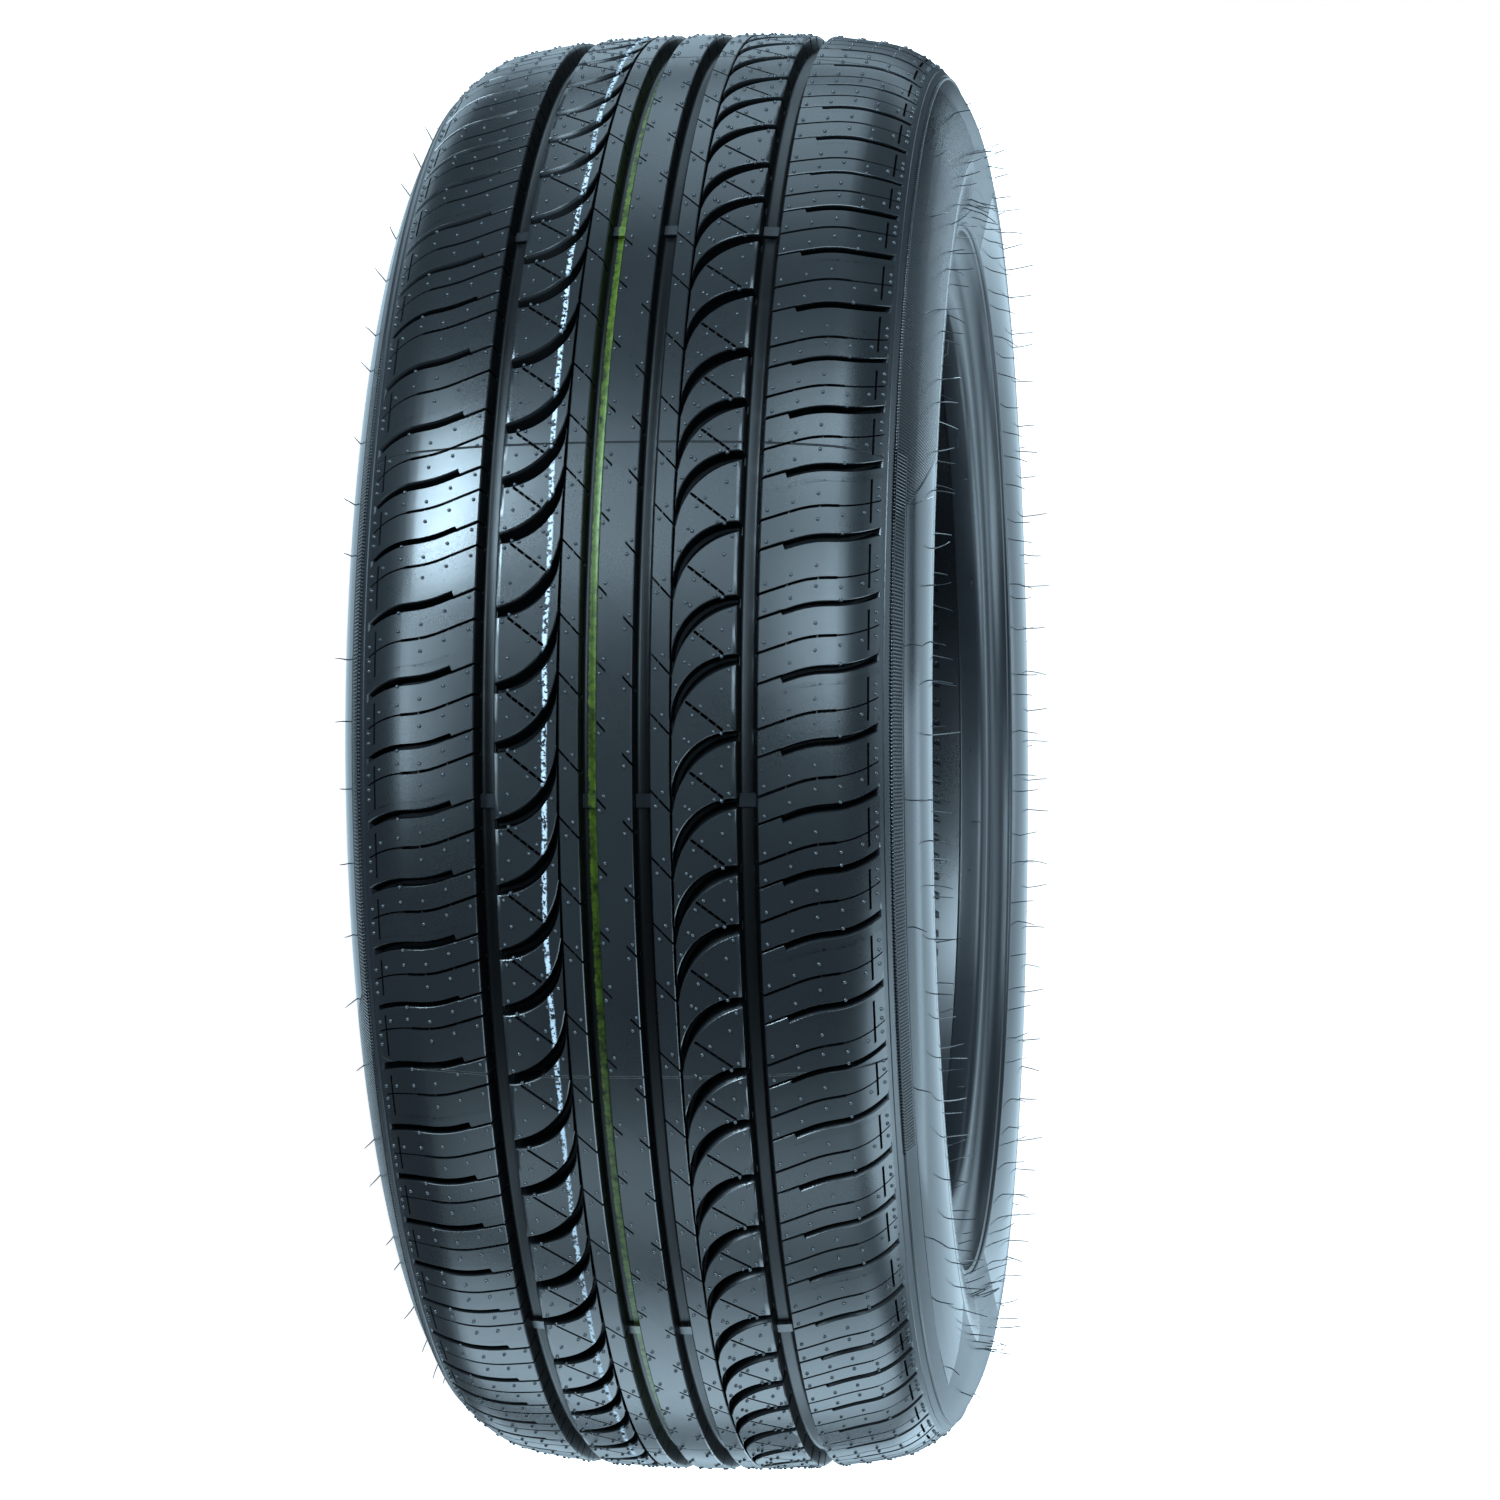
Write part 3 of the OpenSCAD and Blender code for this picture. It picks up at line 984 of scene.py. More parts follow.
# %% Steps along a block
SIPE_FROM = 0.12
SIPE_TO = 0.595
ARC_STEPS = np.array([0, 0.015, 0.05, 0.09, 0.12, 0.135, 0.17, 0.2, 0.215, 0.26, 0.3, 0.315,
                      0.36, 0.4, 0.415, 0.46, 0.5, 0.515, 0.55, 0.58, 0.595, 0.62, 0.68, 0.74,
                      0.8, 0.85, 0.9, 0.95, 1.0])
print(len(ARC_STEPS), "steps along a block")

# %% Outer edge of a curved groove
ARC_CENTRE = np.array([46.05, 22.9])
ARC_RADIUS = 24.3
LINE_SIDE = 21.75


def turn_edge(centre, radius, angle):
    """Points (u, v) of an arc at angles from straight up towards the thin line, and the
    direction away from its centre."""
    a = np.radians(angle)
    out = np.stack([-np.sin(a), -np.cos(a)])
    return centre[:, None, None] + radius * out, out


print("the outer edge ends at", turn_edge(ARC_CENTRE, ARC_RADIUS, np.array([[90.0]]))[0].ravel())

# %% [markdown]
# ## The sipe of a block
# The sipe is straight. It leaves the block's lower edge near the main groove, runs up and to
# the left, and ends on the upper edge. The place where it ends could be searched for, but a line
# meets a circle where a quadratic says.

# %% Where a sipe meets the upper edge
INNER_CENTRE = np.array([52.3, 32.35])
INNER_ARC_RADIUS = 30.3
SIPE_SLOPE = 0.8


def sipe_meets(size):
    """Where a block's sipe meets its upper edge, as an angle round INNER_CENTRE. The sipe
    leaves the lower edge up and to the left at SIPE_SLOPE, so this is a line cut by a circle,
    a quadratic in the line's length, with another answer for each length of pitch."""
    b = math.radians(90 * SIPE_FROM)
    from_u = ARC_CENTRE[0] - ARC_RADIUS * math.sin(b) - INNER_CENTRE[0]
    from_v = size + ARC_CENTRE[1] - ARC_RADIUS * math.cos(b) - INNER_CENTRE[1]
    one = 1 + SIPE_SLOPE**2
    half = -from_u - SIPE_SLOPE * from_v
    rest = from_u**2 + from_v**2 - INNER_ARC_RADIUS**2
    length = (-half + np.sqrt(half**2 - one * rest)) / one
    return np.degrees(np.arctan2(length - from_u, SIPE_SLOPE * length - from_v))


print("the sipe meets the upper edge at", np.round(sipe_meets(np.array([23.0, 29.0])), 1))

# %% Inner edge of a curved groove
BEND_TO = 0.9
END_ACROSS = 0.6
END_CLIMB = 2.5


def inner_edge(centre, radius, meets):
    """The edge on a curved groove's inner side for each pitch, and the direction into the block:
    from the main groove to the place of the sipe, on to BEND_TO, and from there straight to the
    thin line. A small circle that stays short of the thin line ends where it is nearest to it."""
    s = ARC_STEPS
    first = np.degrees(np.arcsin((centre[0] - ARC_CENTRE[0]) / radius))
    last = np.degrees(np.arcsin(min(1.0, (centre[0] - LINE_SIDE - END_ACROSS) / radius)))
    share = np.clip((s - SIPE_TO) / (BEND_TO - SIPE_TO), 0, 1)
    angle = np.where(s < SIPE_TO, first + (meets - first) * s / SIPE_TO,
                     meets + (last - meets) * share)
    edge, out = turn_edge(centre, radius, angle)
    t = np.maximum(s - BEND_TO, 0) / 0.1
    edge[0] -= END_ACROSS * t
    edge[1] += END_CLIMB * t
    return edge, -out


print("inner edges", inner_edge(INNER_CENTRE, INNER_ARC_RADIUS, np.array([[40.0]]))[0].shape)

# %% Edges of the blocks
FLOOR_CENTRE = np.array([48.8, 25.8])
FLOOR_ARC_RADIUS = 25.5
FLOOR_MEETS = 60.0
WALL_LEAN = 0.2


def block_edges(pitch):
    """For pitches in mm: every block's upper edge at its wall and inside its chamfer, its lower
    edge inside its chamfer and at its wall, the groove's floor on both sides, and the next
    block's upper edge."""
    top, inward = inner_edge(INNER_CENTRE, INNER_ARC_RADIUS, sipe_meets(pitch))
    after = np.roll(pitch, -1, axis=0)
    next_top = inner_edge(INNER_CENTRE, INNER_ARC_RADIUS, sipe_meets(after))[0]
    next_floor = inner_edge(FLOOR_CENTRE, FLOOR_ARC_RADIUS, FLOOR_MEETS + 0 * pitch)[0]
    low, outward = turn_edge(ARC_CENTRE, ARC_RADIUS, 90 * ARC_STEPS[None] + 0 * pitch)
    for line in (low, next_top, next_floor):
        line[1] += pitch
    top_edge, low_edge = top + CHAMFER * inward, low + CHAMFER * outward
    floor_low = low - WALL_LEAN * outward
    for line in (top_edge, low_edge, floor_low):
        line[0] = np.clip(line[0], LINE_SIDE, ARC_CENTRE[0])
    return top, top_edge, low_edge, low, floor_low, next_floor, next_top


print("a block has", len(block_edges(np.array([[26.0]]))), "edges")

# %% Sipe of a block
TIES = ((0.19, 0.22), (0.29, 0.32), (0.39, 0.42), (0.49, 0.52))
ACROSS_SIPE = (-0.62, 0.78)
BLOCK_SIPE_HALF = 0.55


def block_sipe(top_edge, low_edge):
    """The two edges of a block's sipe and its depth. Its line runs along the lower edge, straight
    across to the upper edge and along that one, and is open only where it crosses. The ties
    are places where it is shallow."""
    s = ARC_STEPS
    k0, k1 = np.searchsorted(s, SIPE_FROM), np.searchsorted(s, SIPE_TO)
    t = np.clip((s - s[k0]) / (s[k1] - s[k0]), 0, 1)
    path = low_edge[:, :, k0:k0 + 1] * (1 - t) + top_edge[:, :, k1:k1 + 1] * t
    path = np.where(s <= s[k0], low_edge, np.where(s >= s[k1], top_edge, path))
    inside = (s > s[k0]) & (s < s[k1])
    depth = SIPE_DEPTH * inside
    for lo, hi in TIES:
        depth = np.where((s > lo) & (s < hi), 1.0, depth)
    aside = np.stack([part * inside for part in ACROSS_SIPE])[:, None] * BLOCK_SIPE_HALF
    return path - aside, path + aside, depth


print("a block's sipe has", len(TIES), "ties")

# %% Rows of a block
ARC_DEPTH = 6.5
SLOPE_DEPTH = 5.6
EDGE_DROP = 0.3


def block_rows(pitch):
    """The sixteen rows of every block: the block's top down to the sipe, the sipe, the top
    beyond it, and the floor of the groove up to the next block. Each is (points, depth)."""
    top, top_edge, low_edge, low, floor_low, next_floor, next_top = block_edges(pitch)
    over, under, sipe = block_sipe(top_edge, low_edge)
    return [(top, EDGE_DROP), (top_edge, 0), (top_edge + (over - top_edge) / 3, 0),
            (top_edge + (over - top_edge) * 2 / 3, 0), (over, 0), (over, sipe), (under, sipe),
            (under, 0), (under + (low_edge - under) / 3, 0),
            (under + (low_edge - under) * 2 / 3, 0), (low_edge, 0), (low, EDGE_DROP),
            (floor_low, SLOPE_DEPTH), (floor_low * 0.75 + next_floor * 0.25, ARC_DEPTH),
            (next_floor * 0.85 + floor_low * 0.15, ARC_DEPTH),
            (next_floor * 0.8 + next_top * 0.2, SLOPE_DEPTH)]


print("a block has", len(block_rows(np.array([[26.0]]))), "rows")

# %% Curved ribs
WALL_DRAFT = 1.5


def curved_rib(side):
    """All blocks of one rib as one grid, with the rib's two walls as its first and last
    columns."""
    start, size = pitches(side)
    rows = block_rows((size * MM_PER_DEGREE)[:, None])
    u = np.stack([points[0] for points, depth in rows], axis=1)
    v = np.stack([points[1] for points, depth in rows], axis=1)
    d = np.stack([depth + np.zeros(len(ARC_STEPS)) for points, depth in rows], axis=0)
    d = np.maximum(d, np.where(ARC_STEPS == 0, CHAMFER, 0))[None] + 0 * u
    u = np.concatenate([u[..., :1] + WALL_DRAFT, u, u[..., -1:]], axis=-1)[..., ::-1]
    v = np.concatenate([v[..., :1], v, v[..., -1:]], axis=-1)[..., ::-1]
    wall = np.full(d.shape[:-1] + (1,), BAND_FLOOR)
    d = np.concatenate([wall, d, wall], axis=-1)[..., ::-1]
    theta = start[:, None, None] + v / MM_PER_DEGREE
    shape = (-1, u.shape[-1])
    return on_tyre(theta.reshape(shape), u.reshape(shape), d.reshape(shape), side)


for name, side in HALVES:
    piece("curved_rib_" + name, [(curved_rib(side), True, True)], tread, 35)

# %% [markdown]
# ## Shoulders
# The grooves of a shoulder run in a shallow S from the main groove over the edge of the tread.
# Their line could be a curve object, but the grid needs its climb at many heights, so it is a
# function of straights and bends. The grid is sheared along that S, so a groove, a sipe and the
# short slots across the sipes are all rows or columns of it.

# %% The line of a shoulder groove
START_SLOPE = math.radians(20)
MIDDLE_SLOPE = math.radians(3.5)
FIRST_BEND_AT, FIRST_BEND_RADIUS = 13.0, 42.0
SECOND_BEND_AT, SECOND_BEND_RADIUS = 28.0, 30.0


def climb(t):
    """How far a shoulder groove has climbed round the tyre at t mm from the main groove:
    straight, a bend, straight and a bend back. On a bend the sine of the slope changes by
    x / R, and the climb is R times the change of its cosine."""
    steep, flat = math.sin(START_SLOPE), math.sin(MIDDLE_SLOPE)
    length = FIRST_BEND_RADIUS * (steep - flat)
    first = np.arcsin(steep - np.clip(t - FIRST_BEND_AT, 0, length) / FIRST_BEND_RADIUS)
    second = np.arcsin(flat + np.maximum(t - SECOND_BEND_AT, 0) / SECOND_BEND_RADIUS)
    middle = np.clip(t, FIRST_BEND_AT + length, SECOND_BEND_AT) - FIRST_BEND_AT - length
    return (np.minimum(t, FIRST_BEND_AT) * math.tan(START_SLOPE)
            + FIRST_BEND_RADIUS * (np.cos(first) - math.cos(START_SLOPE))
            + middle * math.tan(MIDDLE_SLOPE)
            + SECOND_BEND_RADIUS * (math.cos(MIDDLE_SLOPE) - np.cos(second)))


print("a shoulder groove climbs", [round(float(climb(np.array(t))), 1) for t in (13, 25, 28, 44)])

# %% Columns of a shoulder
SHOULDER_FROM = 54.2
SHOULDER_COLUMNS = np.array([0, 0.35, 2.2, 4.4, 6.5, 8.0, 8.5, 9.3, 10.2, 10.7, 12.6, 14.6, 16.4,
                             17.9, 18.4, 20.2, 21.8, 22.3, 24.0, 25.3, 25.8, 27.4, 29.0, 29.2,
                             31.0, 32.8, 34.4, 36.0, 37.4, 38.6, 40.05, 40.1, 40.8, 40.85, 42.4,
                             43.2, 43.8, 44.0, 44.35, 44.7])
print("a shoulder has", len(SHOULDER_COLUMNS), "columns")

# %% Sipe of a shoulder
SHOULDER_TIES = ((10.1, 10.8), (21.7, 22.4))
SIPE_AT = -1.65


def shoulder_sipe():
    """Half the width of a shoulder's sipe and its depth at every column. Past the edge of the
    tread it is narrower and shallower, and two ties hold its sides together."""
    c = SHOULDER_COLUMNS
    half = np.interp(c, [0, 29.0, 29.2, 44.7], [0.58, 0.58, 0.34, 0.3])
    depth = np.interp(c, [0, 29.0, 29.2, 43.8, 44.3], [SIPE_DEPTH, SIPE_DEPTH, 2.2, 1.6, 0.0])
    for lo, hi in SHOULDER_TIES:
        depth = np.where((c > lo) & (c < hi), 1.0, depth)
    return half, depth


print("the sipe of a shoulder is at most", 2 * max(shoulder_sipe()[0]), "mm wide")

# %% Wide groove of a shoulder
WIDE_SHARE, WIDE_BACK = 0.36, 0.4
WIDE_UPPER, WIDE_LOWER = 0.3, 2.9
NECK_HALF = 0.5
NECK = (0, 8.5, 9.3, 44.7)


def wide_groove(place):
    """A wide groove round its place in the pitch, at every column: its upper edge, the end of
    its floor, its lower edge and its depth. It begins as a narrow neck at the main groove."""
    c = SHOULDER_COLUMNS
    upper = place + np.interp(c, NECK, [-NECK_HALF, -NECK_HALF, -WIDE_UPPER, -WIDE_UPPER])
    floor_end = place + np.interp(c, NECK, [0.35, 0.35, 1.2, 1.2])
    lower = place + np.interp(c, NECK, [NECK_HALF, NECK_HALF, WIDE_LOWER, WIDE_LOWER])
    depth = np.interp(c, [0, 8.5, 9.3, 36, 43.8, 44.3], [4.5, 4.5, 5.6, 5.0, 3.2, 0.0])
    return upper, floor_end, lower, depth


print("the wide groove is at most", round(max(wide_groove(0.0)[3]), 1), "mm deep")

# %% [markdown]
# ## One pitch of a shoulder
# A pitch holds a short slot across its sipe, the sipe itself, and the wide groove. The slot
# could be a piece of its own, but as a pair of columns it stays part of the same closed grid.

# %% One pitch of a shoulder
SLOT_DEPTH = 2.2
SLOT_GAPS = (2.6, 3.0)


def shoulder_rows(start, size, before):
    """The rows of one pitch, from the slot's start to the next pitch. The slot ends short of the
    two wide grooves beside it. Each row is (angles, depths)."""
    c = SHOULDER_COLUMNS
    pitch, flat = size * MM_PER_DEGREE, 0 * c
    place = WIDE_SHARE * pitch - WIDE_BACK
    half, sipe = shoulder_sipe()
    upper, floor_end, lower, wide = wide_groove(place)
    slot = np.where((c > 40.07) & (c < 40.82), SLOT_DEPTH, 0.0)
    slot_sipe = np.maximum(slot, sipe)
    slot_from = (-(1 - WIDE_SHARE) * before * MM_PER_DEGREE - WIDE_BACK + WIDE_LOWER
                 + SLOT_GAPS[0])
    slot_to = place - WIDE_UPPER - SLOT_GAPS[1]
    rest = slot_from + pitch + 0 * c
    rows = [(slot_from - 0.06 + flat, flat), (slot_from + flat, slot),
            ((slot_from + SIPE_AT) / 2 + flat, slot),
            (SIPE_AT - half - 0.03, slot), (SIPE_AT - half, slot_sipe),
            (SIPE_AT + half, slot_sipe), (SIPE_AT + half + 0.03, slot),
            ((slot_to + SIPE_AT) / 2 + flat, slot), (slot_to + flat, slot),
            (slot_to + 0.06 + flat, flat), (upper - 0.25, flat),
            (upper, np.minimum(0.2, wide)), (upper + 0.12, wide),
            (floor_end, wide), (lower, np.minimum(0.25, wide)),
            (lower + 0.25, flat), (lower + (rest - lower) / 3, flat),
            (lower + (rest - lower) * 2 / 3, flat)]
    return [(start + along / MM_PER_DEGREE, depth) for along, depth in rows]


print("a shoulder's pitch has", len(shoulder_rows(0.0, 4.5, 4.5)), "rows")

# %% Shoulders
SHOULDER_END_DEPTH = 6.0


def shoulder(side):
    """The whole shoulder of one half as a grid closed both ways."""
    rows = []
    start, size = pitches(side)
    for begin, length, before in zip(start, size, np.roll(size, 1)):
        rows += shoulder_rows(begin, length, before)
    c = SHOULDER_COLUMNS
    side_depth = np.where(c == 0, CHAMFER, np.where(c > 44.5, 0.4, 0.0))
    theta = np.array([row[0] for row in rows]) - climb(c) / MM_PER_DEGREE
    depth = np.maximum(np.array([row[1] for row in rows]), side_depth)
    u = SHOULDER_FROM + c + 0 * theta
    u = np.concatenate([u[:, :1] - WALL_DRAFT, u, u[:, -1:]], axis=1)
    theta = np.concatenate([theta[:, :1], theta, theta[:, -1:]], axis=1)
    ends = np.ones((len(rows), 1))
    depth = np.concatenate([BAND_FLOOR * ends, depth, SHOULDER_END_DEPTH * ends], axis=1)
    return on_tyre(theta, u, depth, side)


for name, side in HALVES:
    piece("shoulder_" + name, [(shoulder(side), True, True)], tread, 35)

# %% [markdown]
# ## Wear bars
# Eight low bars cross each main groove. When the tread has worn down to them, the tyre is due.
# They could be blocks set on the floor one by one. A flat ring for each groove, which lies under
# its floor and rises above it eight times, follows the tyre's curve by itself.

# %% Wear bars
BAR_COUNT = 8
WEAR_FROM = 3.4
WEAR_HEIGHT = 1.6
WEAR_LENGTH = 6.0


def wear_ring(middle, half_width, side):
    """A flat closed ring in a groove, as rows round the tyre. Between the bars they lie under
    the groove's floor, and at a bar they rise to its top with a short slope."""
    at = side * (WEAR_FROM + np.arange(BAR_COUNT)[:, None] * 360 / BAR_COUNT)
    along = np.array([-0.5, -0.44, 0.44, 0.5]) * WEAR_LENGTH / MM_PER_DEGREE
    between_bars = np.linspace(3.0, 42.0, 14)
    low, high = GROOVE_DEPTH + 0.4, GROOVE_DEPTH - WEAR_HEIGHT
    rows = np.concatenate([at + along, at + between_bars], axis=1).reshape(-1)
    depth = np.tile(np.concatenate([[low, high, high, low], np.full(14, low)]), BAR_COUNT)
    order = np.argsort(rows)
    rows, depth = rows[order][:, None], depth[order][:, None]
    z = middle + half_width * np.array([-1, -1, 1, 1]) + 0 * rows
    foot = 0 * depth + GROOVE_DEPTH + 1.0
    depth = np.concatenate([foot, depth, depth, foot], axis=1)
    return on_tyre(rows + 0 * z, z, depth, side)


BAR_PLACES = ((INNER_GROOVE[1], 3.1), (OUTER_GROOVE[1], 3.3))
rings = [(wear_ring(middle, half, side), True, True) for side in (1, -1)
         for middle, half in BAR_PLACES]
piece("wear_bars", rings, casing_rubber, 35)

# %% [markdown]
# ## Vent stubs
# Rubber that ran into the mould's vents leaves small glossy domes, twenty-six in each pitch of
# each half. Scattered by chance they would look wrong, as the real ones sit at fixed distances
# from the sipes and grooves. So their places are written as offsets from those lines, and one
# small dome is repeated at all of them.

# %% Places of the vent stubs
FROM_SIPE = np.array([(2.3, -3.3), (11.8, -3.6), (21.2, -5.1), (43.1, -5.8), (43.1, -1.9),
                      (30.4, 3.9), (38.1, 3.6), (43.1, 4.0)])
FROM_GROOVE = np.array([(2.3, -2.8), (11.8, -4.3), (21.2, -6.7), (30.4, -0.9)])
FROM_BLOCK_SIPE = np.array([(33.0, -2.8), (29.8, 3.2), (37.8, 3.0), (40.6, 1.3)])
FROM_NEXT_BLOCK = np.array([(43.4, -3.2), (28.5, 2.8), (26.9, 1.7), (23.8, 10.4)])
FROM_BLOCK = np.array([(43.6, 4.8), (40.8, 12.0)])
FROM_NARROW_SIPE = np.array([(18.4, -4.3), (15.8, 3.8)])
FROM_CENTRE_SIPE = ((5.6, -3.3), (3.9, 4.0))
CENTRE_SIPE_AT = {1: 3.43, -1: -31.3}
BLOCK_SIPE_AT = (41.5, 0.97)


def stub_places(side):
    """Angles and heights of all stubs of one half. The offsets are (height, way along the tread)
    in mm, and an angle is the pitch's start plus the line's own place at that height plus the
    way along the tread."""
    start, size = pitches(side)
    pitch = size * MM_PER_DEGREE
    places = []
    for offsets, line in (
            (FROM_SIPE, lambda u: SIPE_AT - climb(u - SHOULDER_FROM)),
            (FROM_GROOVE, lambda u: WIDE_SHARE * pitch - climb(u - SHOULDER_FROM)),
            (FROM_BLOCK_SIPE,
             lambda u: pitch - BLOCK_SIPE_AT[1] - SIPE_SLOPE * (BLOCK_SIPE_AT[0] - u)),
            (FROM_NEXT_BLOCK, lambda u: pitch),
            (FROM_BLOCK, lambda u: 0 * pitch),
            (FROM_NARROW_SIPE, lambda u: NARROW_SIPE * MM_PER_DEGREE + narrow_climb(u))):
        for u, along in offsets:
            height = u + (SHOULDER_FROM if offsets is FROM_SIPE or offsets is FROM_GROOVE else 0)
            places.append(np.stack([start + (line(height) + along) / MM_PER_DEGREE,
                                    height + 0 * start]))
    for u, along in FROM_CENTRE_SIPE:
        sipe = CENTRE_SIPE_AT[side]
        begin = start if side > 0 else -pitches(1)[0]
        places.append(np.stack([begin + (sipe + along + CENTRE_SLOPE * u) / MM_PER_DEGREE,
                                u + 0 * start]))
    return np.concatenate(places, axis=1)


print("stubs on one half", stub_places(1).shape[1])

# %% Directions on the outside
def frames(theta, z, side):
    """Points of the outside with the directions round the tyre, across it and away from it."""
    radius, out, up = surface(z)
    a = np.radians(theta) * side
    zero = 0 * a
    normal = np.stack([out * np.cos(a), out * np.sin(a), up * side], axis=-1)
    along = np.stack([-np.sin(a), np.cos(a), zero], axis=-1)
    return on_tyre(theta, z, 0 * z, side), along, np.cross(normal, along), normal


print("the normal on the middle of the tread is", frames(np.zeros(1), np.zeros(1), 1)[3][0])

# %% Vent stubs
STUB = np.array([[0.0, 0.78], [0.42, 0.68], [0.72, 0.32], [0.8, -0.3], [0.0, -0.3]])
STUB_SIDES = 8


def domes(theta, z, side):
    """A small dome at each place: rings of eight points from its top down to its foot, which is
    sunk a little."""
    point, along, across, normal = (v[:, None, None] for v in frames(theta, z, side))
    turn = np.linspace(0, 2 * math.pi, STUB_SIDES, endpoint=False)[None, None, :, None]
    ring, height = STUB[:, 0][None, :, None, None], STUB[:, 1][None, :, None, None]
    return point + MM * (ring * (np.cos(turn) * along + np.sin(turn) * across) + height * normal)


for name, side in HALVES:
    theta, z = stub_places(side)
    piece("vent_stubs_" + name, [(domes(theta, z, side), False, True)], stub_rubber_painted_glint, 60)

# %% [markdown]
# ## Vent hairs
# On the sidewalls the vents are longer and leave thin hairs of rubber. Each is a tapered tube
# along a slightly bent line. Hair particles would look alike, but they aren't a mesh. All tubes
# of a ring are worked out at once, and a fixed seed gives the same hairs in every run.

# %% Tube of a hair
chance = np.random.default_rng(5)
HAIR_SIDES = 5
HAIR_RINGS = np.array([[0.0, 0.0], [0.0, 1.0], [0.35, 0.9], [0.7, 0.8], [1.0, 0.6], [1.0, 0.0]])
HAIR_THICKNESS = 0.27
HAIR_BEND = 0.09
LOWEST = -114.3


def hairs(foot, way, length):
    """Tubes from foot along way, bent aside by a share of their length squared. What would
    reach under the floor is pressed flat on it."""
    count = len(foot)
    way = way / np.linalg.norm(way, axis=1, keepdims=True)
    sweep = chance.normal(0, HAIR_BEND, (count, 3))
    aside = np.cross(way, [0.3, 0.5, 0.81])
    aside /= np.linalg.norm(aside, axis=1, keepdims=True)
    other = np.cross(way, aside)
    t = HAIR_RINGS[:, 0][None, :, None]
    line = foot[:, None] + length[:, None, None] * (t * way[:, None] + t * t * sweep[:, None])
    turn = np.linspace(0, 2 * math.pi, HAIR_SIDES, endpoint=False)[None, None, :, None]
    ring = HAIR_THICKNESS * HAIR_RINGS[:, 1][None, :, None, None]
    round_it = np.cos(turn) * aside[:, None, None] - np.sin(turn) * other[:, None, None]
    tube = line[:, :, None] + ring * round_it
    tube[..., 2] = np.maximum(tube[..., 2], LOWEST)
    return tube * MM


print("a hair has", len(HAIR_RINGS), "rings of", HAIR_SIDES, "points")

# %% Hairs of a sidewall
HAIR_LEAN = 0.12
HAIR_ROOT = 0.4


def side_place(r):
    """Height of the sidewall's surface at a radius, and its normal's parts."""
    height = BULGE_CENTRE[1] + np.sqrt(BULGE_RADIUS**2 - (r - BULGE_CENTRE[0])**2)
    return height, (r - BULGE_CENTRE[0]) / BULGE_RADIUS, (height - BULGE_CENTRE[1]) / BULGE_RADIUS


def hair_row(r, spacing, shortest, longest, side=1):
    """A ring of hairs on a sidewall, with wandering places, along the surface's normal."""
    count = int(2 * math.pi * r / spacing)
    a = 2 * math.pi * (np.arange(count) + chance.uniform(-0.3, 0.3, count)) / count
    radius = r + chance.uniform(-1.5, 1.5, count)
    height, out, up = side_place(radius)
    foot = np.stack([radius * np.cos(a), radius * np.sin(a), height * side], axis=1)
    normal = np.stack([out * np.cos(a), out * np.sin(a), up * side], axis=1)
    lean = chance.normal(0, HAIR_LEAN, (count, 3))
    length = chance.uniform(shortest, longest, count)
    return foot - HAIR_ROOT * normal, normal + lean, length


print("the sidewall is widest at", round(float(side_place(BULGE_CENTRE[0])[0]), 1), "mm up")

# %% Hairs low down and in the opening
def edge_hairs(r, spacing):
    """Hairs low on the lower sidewall, pressed nearly flat and pointing out, above the floor."""
    foot, way, length = hair_row(r, spacing, 5.0, 9.5, -1)
    out = foot * [1, 1, 0] / np.linalg.norm(foot[:, :2], axis=1, keepdims=True)
    return foot, out + [0, 0, -0.28] + 0.12 * (way - out), length


def bead_hairs(spacing):
    """A few hairs inside the opening, on the bead's seat."""
    count = int(2 * math.pi * SEAT / spacing)
    a = 2 * math.pi * (np.arange(count) + chance.uniform(-0.4, 0.4, count)) / count
    foot = np.stack([SEAT * np.cos(a), SEAT * np.sin(a), chance.uniform(88, 94, count)], axis=1)
    way = foot * [-1, -1, 0] / SEAT + chance.normal(0, 0.3, (count, 3))
    return foot, way, chance.uniform(4, 7, count)


print("hairs on the bead point to the axis from radius", SEAT, "mm")

# %% Vent hairs
rows = [hair_row(241.0, 16.0, 7.5, 10.0), hair_row(264.0, 19.0, 8.0, 11.5),
        hair_row(284.0, 60.0, 5.0, 8.0), edge_hairs(279.0, 28.0), bead_hairs(40.0)]
piece("vent_hairs", [(hairs(*row), False, True) for row in rows], stub_rubber_painted_glint, 60)
print("hairs", [len(row[0]) for row in rows])

# %% [markdown]
# ## Floor and light
# The tyre was photographed in a plain white studio. A closed white room could make it, but its
# walls would keep the panels' light out, so there is a white floor and a white surround alone.
# The floor lets the light of the panels through, as the tyre stands on its tread in the
# photograph and has light from both sides there.

# %% Floor
FLOOR_HEIGHT = -0.1145
FLOOR_HALF = 12.0


def plain(name, colour, strength):
    """A matt colour with a little light of its own, so that its shadows stay faint."""
    shader = Shader(name)
    shader.set("Base Color", (*colour, 1))
    shader.set("Roughness", 0.9)
    shader.set("Emission Color", (*colour, 1))
    shader.set("Emission Strength", strength)
    return shader.material


def floor(size, height):
    """A square of four corners at the tyre's lowest height."""
    mesh = bpy.data.meshes.new("floor")
    mesh.from_pydata([(-size, -size, height), (size, -size, height), (size, size, height),
                      (-size, size, height)], [], [(0, 1, 2, 3)])
    made = bpy.data.objects.new("floor", mesh)
    bpy.context.scene.collection.objects.link(made)
    mesh.materials.append(plain("floor_white", (1.0, 1.0, 1.0), 0.92))
    made.visible_shadow = False
    made.visible_glossy = False
    made.visible_diffuse = False
    return made


ground = floor(FLOOR_HALF, FLOOR_HEIGHT)
print("the floor is", [round(length, 1) for length in ground.dimensions], "m in size")

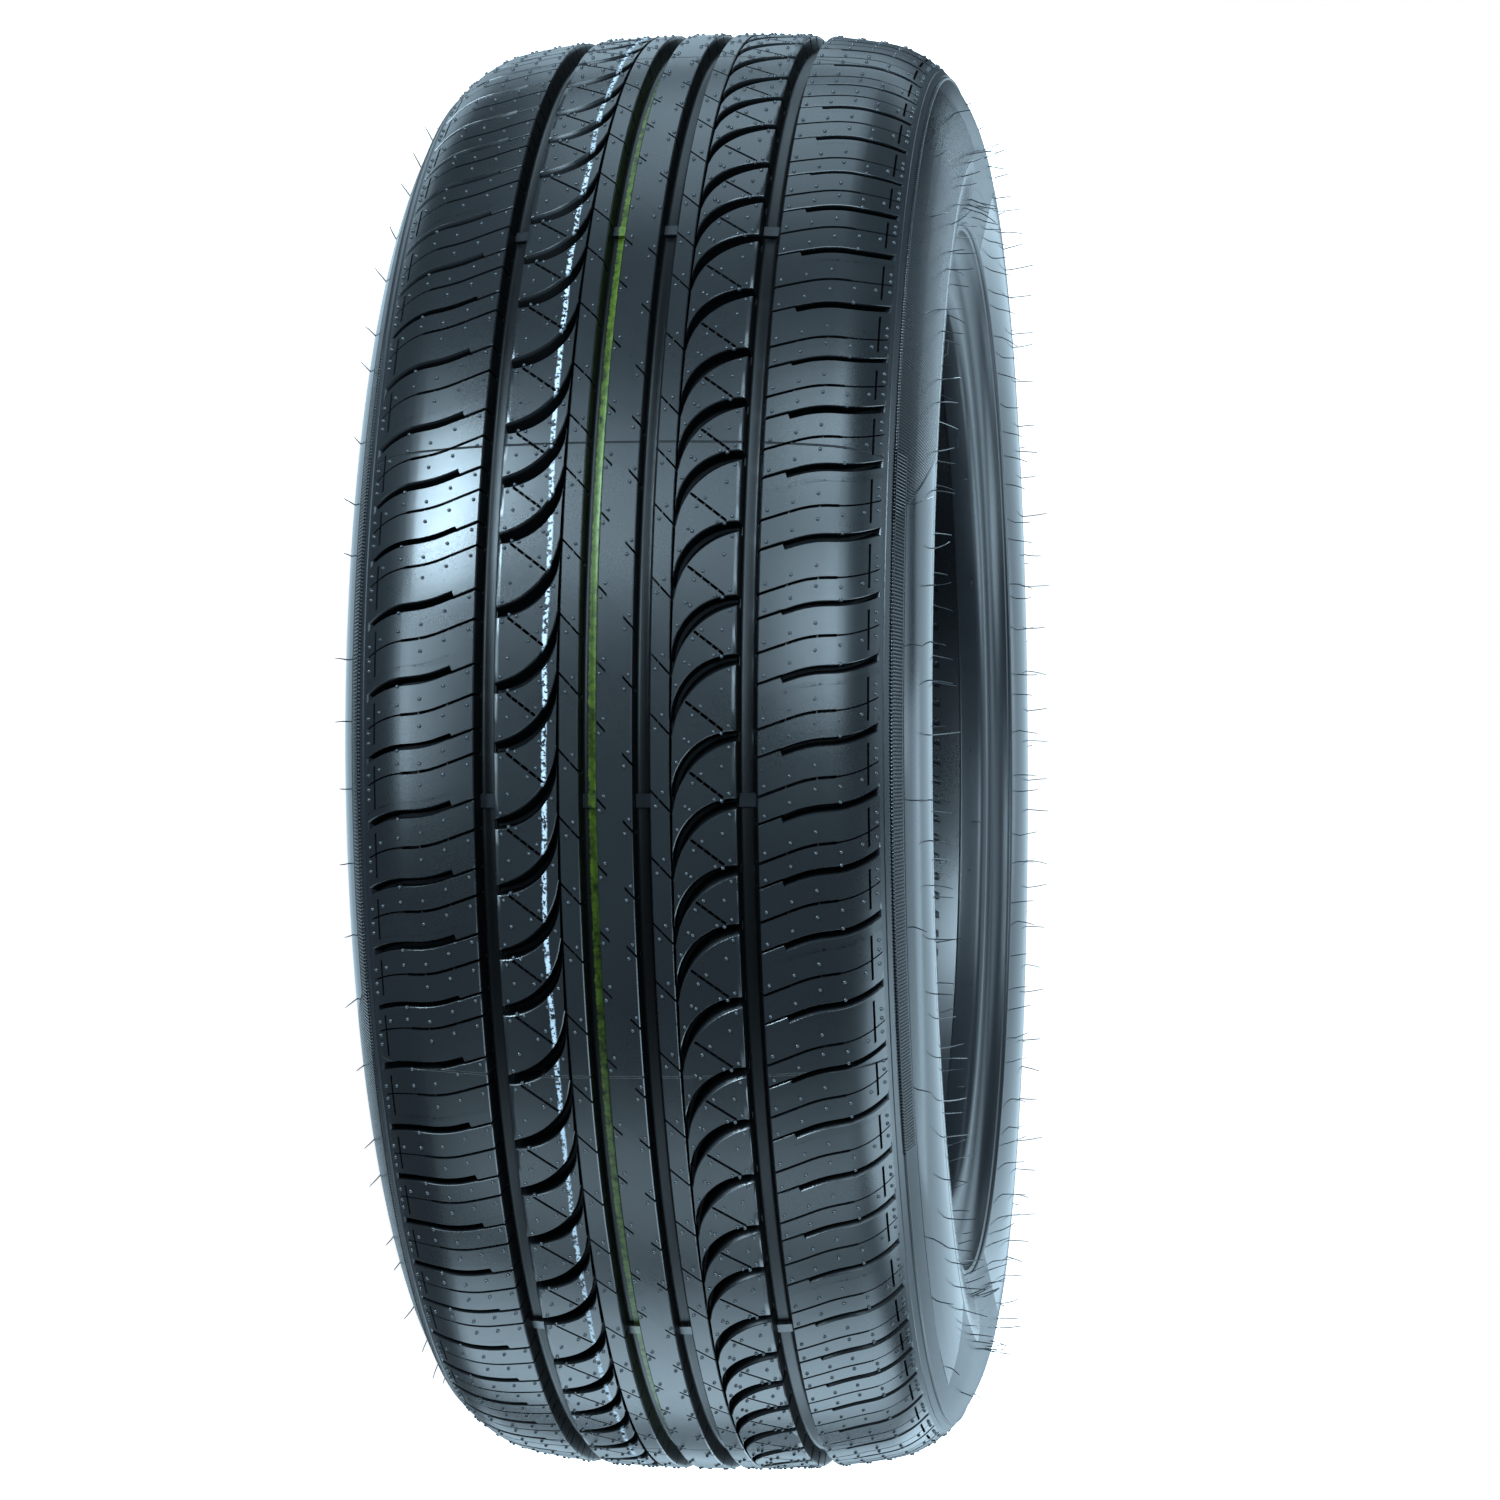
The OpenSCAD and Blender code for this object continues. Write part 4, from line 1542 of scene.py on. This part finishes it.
# %% [markdown]
# ## Light
# Large soft panels on both sides and above give the bands of light on the two shoulders. A
# picture of a studio as the surround would do it too, but each panel here can be moved and
# turned up alone, to match one highlight of the photograph. The last one, behind the tyre,
# lights its paint and leaves no shine on the rubber.

# %% Light
def panel(name, azimuth, elevation, distance, width, height, radiance, colour=(0.61, 0.84, 1.0)):
    """A soft panel that faces the tyre. Azimuth is to the picture's right and elevation up,
    both seen from the tyre's middle, with the camera at nought. Its power is pi times its
    radiance and its area."""
    a, e = math.radians(azimuth), math.radians(elevation)
    way = picture(math.sin(a) * math.cos(e), -math.cos(a) * math.cos(e), math.sin(e))
    light = bpy.data.lights.new(name, "AREA")
    light.shape = "RECTANGLE"
    light.size, light.size_y = width, height
    light.energy = math.pi * radiance * width * height
    light.color = colour
    made = bpy.data.objects.new(name, light)
    bpy.context.scene.collection.objects.link(made)
    across = np.cross(picture(0, 0, 1), way)
    across /= np.linalg.norm(across)
    matrix = np.eye(4)
    matrix[:3, 0], matrix[:3, 1], matrix[:3, 2] = across, np.cross(way, across), way
    matrix[:3, 3] = way * distance
    made.matrix_world = Matrix(matrix.tolist())
    made.visible_camera = False
    return made


print("to the picture's right is", np.round(picture(1, 0, 0), 2))

# %% Panels
PANELS = [
    panel("left_panel", -32, 33, 2.6, 0.5, 0.8, 60.0),
    panel("left_side_panel", -40, 8, 2.8, 1.0, 1.2, 10.0),
    panel("right_panel", 27, 44, 2.8, 1.3, 1.0, 9.0),
    panel("right_side_panel", 24, 17, 2.8, 1.3, 1.0, 13.0),
    panel("front_panel", -6, 36, 3.2, 1.0, 0.8, 4.2),
    panel("top_panel", 4, 103, 2.4, 1.1, 1.5, 2.4),
    panel("low_front_panel", 4, -66, 2.6, 2.8, 0.9, 3.2),
    panel("low_panel", 8, -106, 2.4, 2.4, 1.4, 4.4),
    panel("back_right_panel", 150, -9, 3.0, 2.6, 3.6, 1.6),
    panel("back_left_panel", -150, 8, 3.0, 2.6, 3.6, 1.1),
    panel("far_side_panel", 121, -10, 2.8, 1.2, 1.3, 2.2),
    panel("side_panel", 86, -34, 2.6, 1.6, 1.6, 8.0),
    panel("overhead_panel", 92, 14, 2.6, 2.2, 1.4, 2.4),
    panel("back_panel", 176, 44, 2.8, 1.8, 0.5, 1.5),
    panel("back_low_panel", 184, -34, 2.8, 1.8, 0.4, 3.0),
    panel("opening_panel", -9, 26, 3.0, 0.5, 0.3, 9.0),
    panel("back_fill_panel", 180, 0, 3.0, 2.0, 2.0, 6.0),
]
PANELS[-1].visible_glossy = False
print("panels", len(PANELS))

# %% Surround
def surround(seen, felt):
    """The surround is white where the camera sees it and dimmer as a light."""
    world = bpy.data.worlds.new("studio")
    bpy.context.scene.world = world
    world.use_nodes = True
    tree = world.node_tree
    back = tree.nodes["Background"]
    path = tree.nodes.new("ShaderNodeLightPath")
    mix = tree.nodes.new("ShaderNodeMix")
    mix.data_type = "RGBA"
    mix.inputs[6].default_value = (*felt, 1)
    mix.inputs[7].default_value = (*seen, 1)
    tree.links.new(path.outputs["Is Camera Ray"], mix.inputs[0])
    tree.links.new(mix.outputs[2], back.inputs["Color"])


surround((1.0, 1.0, 1.0), (0.095, 0.13, 0.16))
bpy.context.scene.view_settings.view_transform = "Standard"
print("the surround is", bpy.context.scene.world.name)
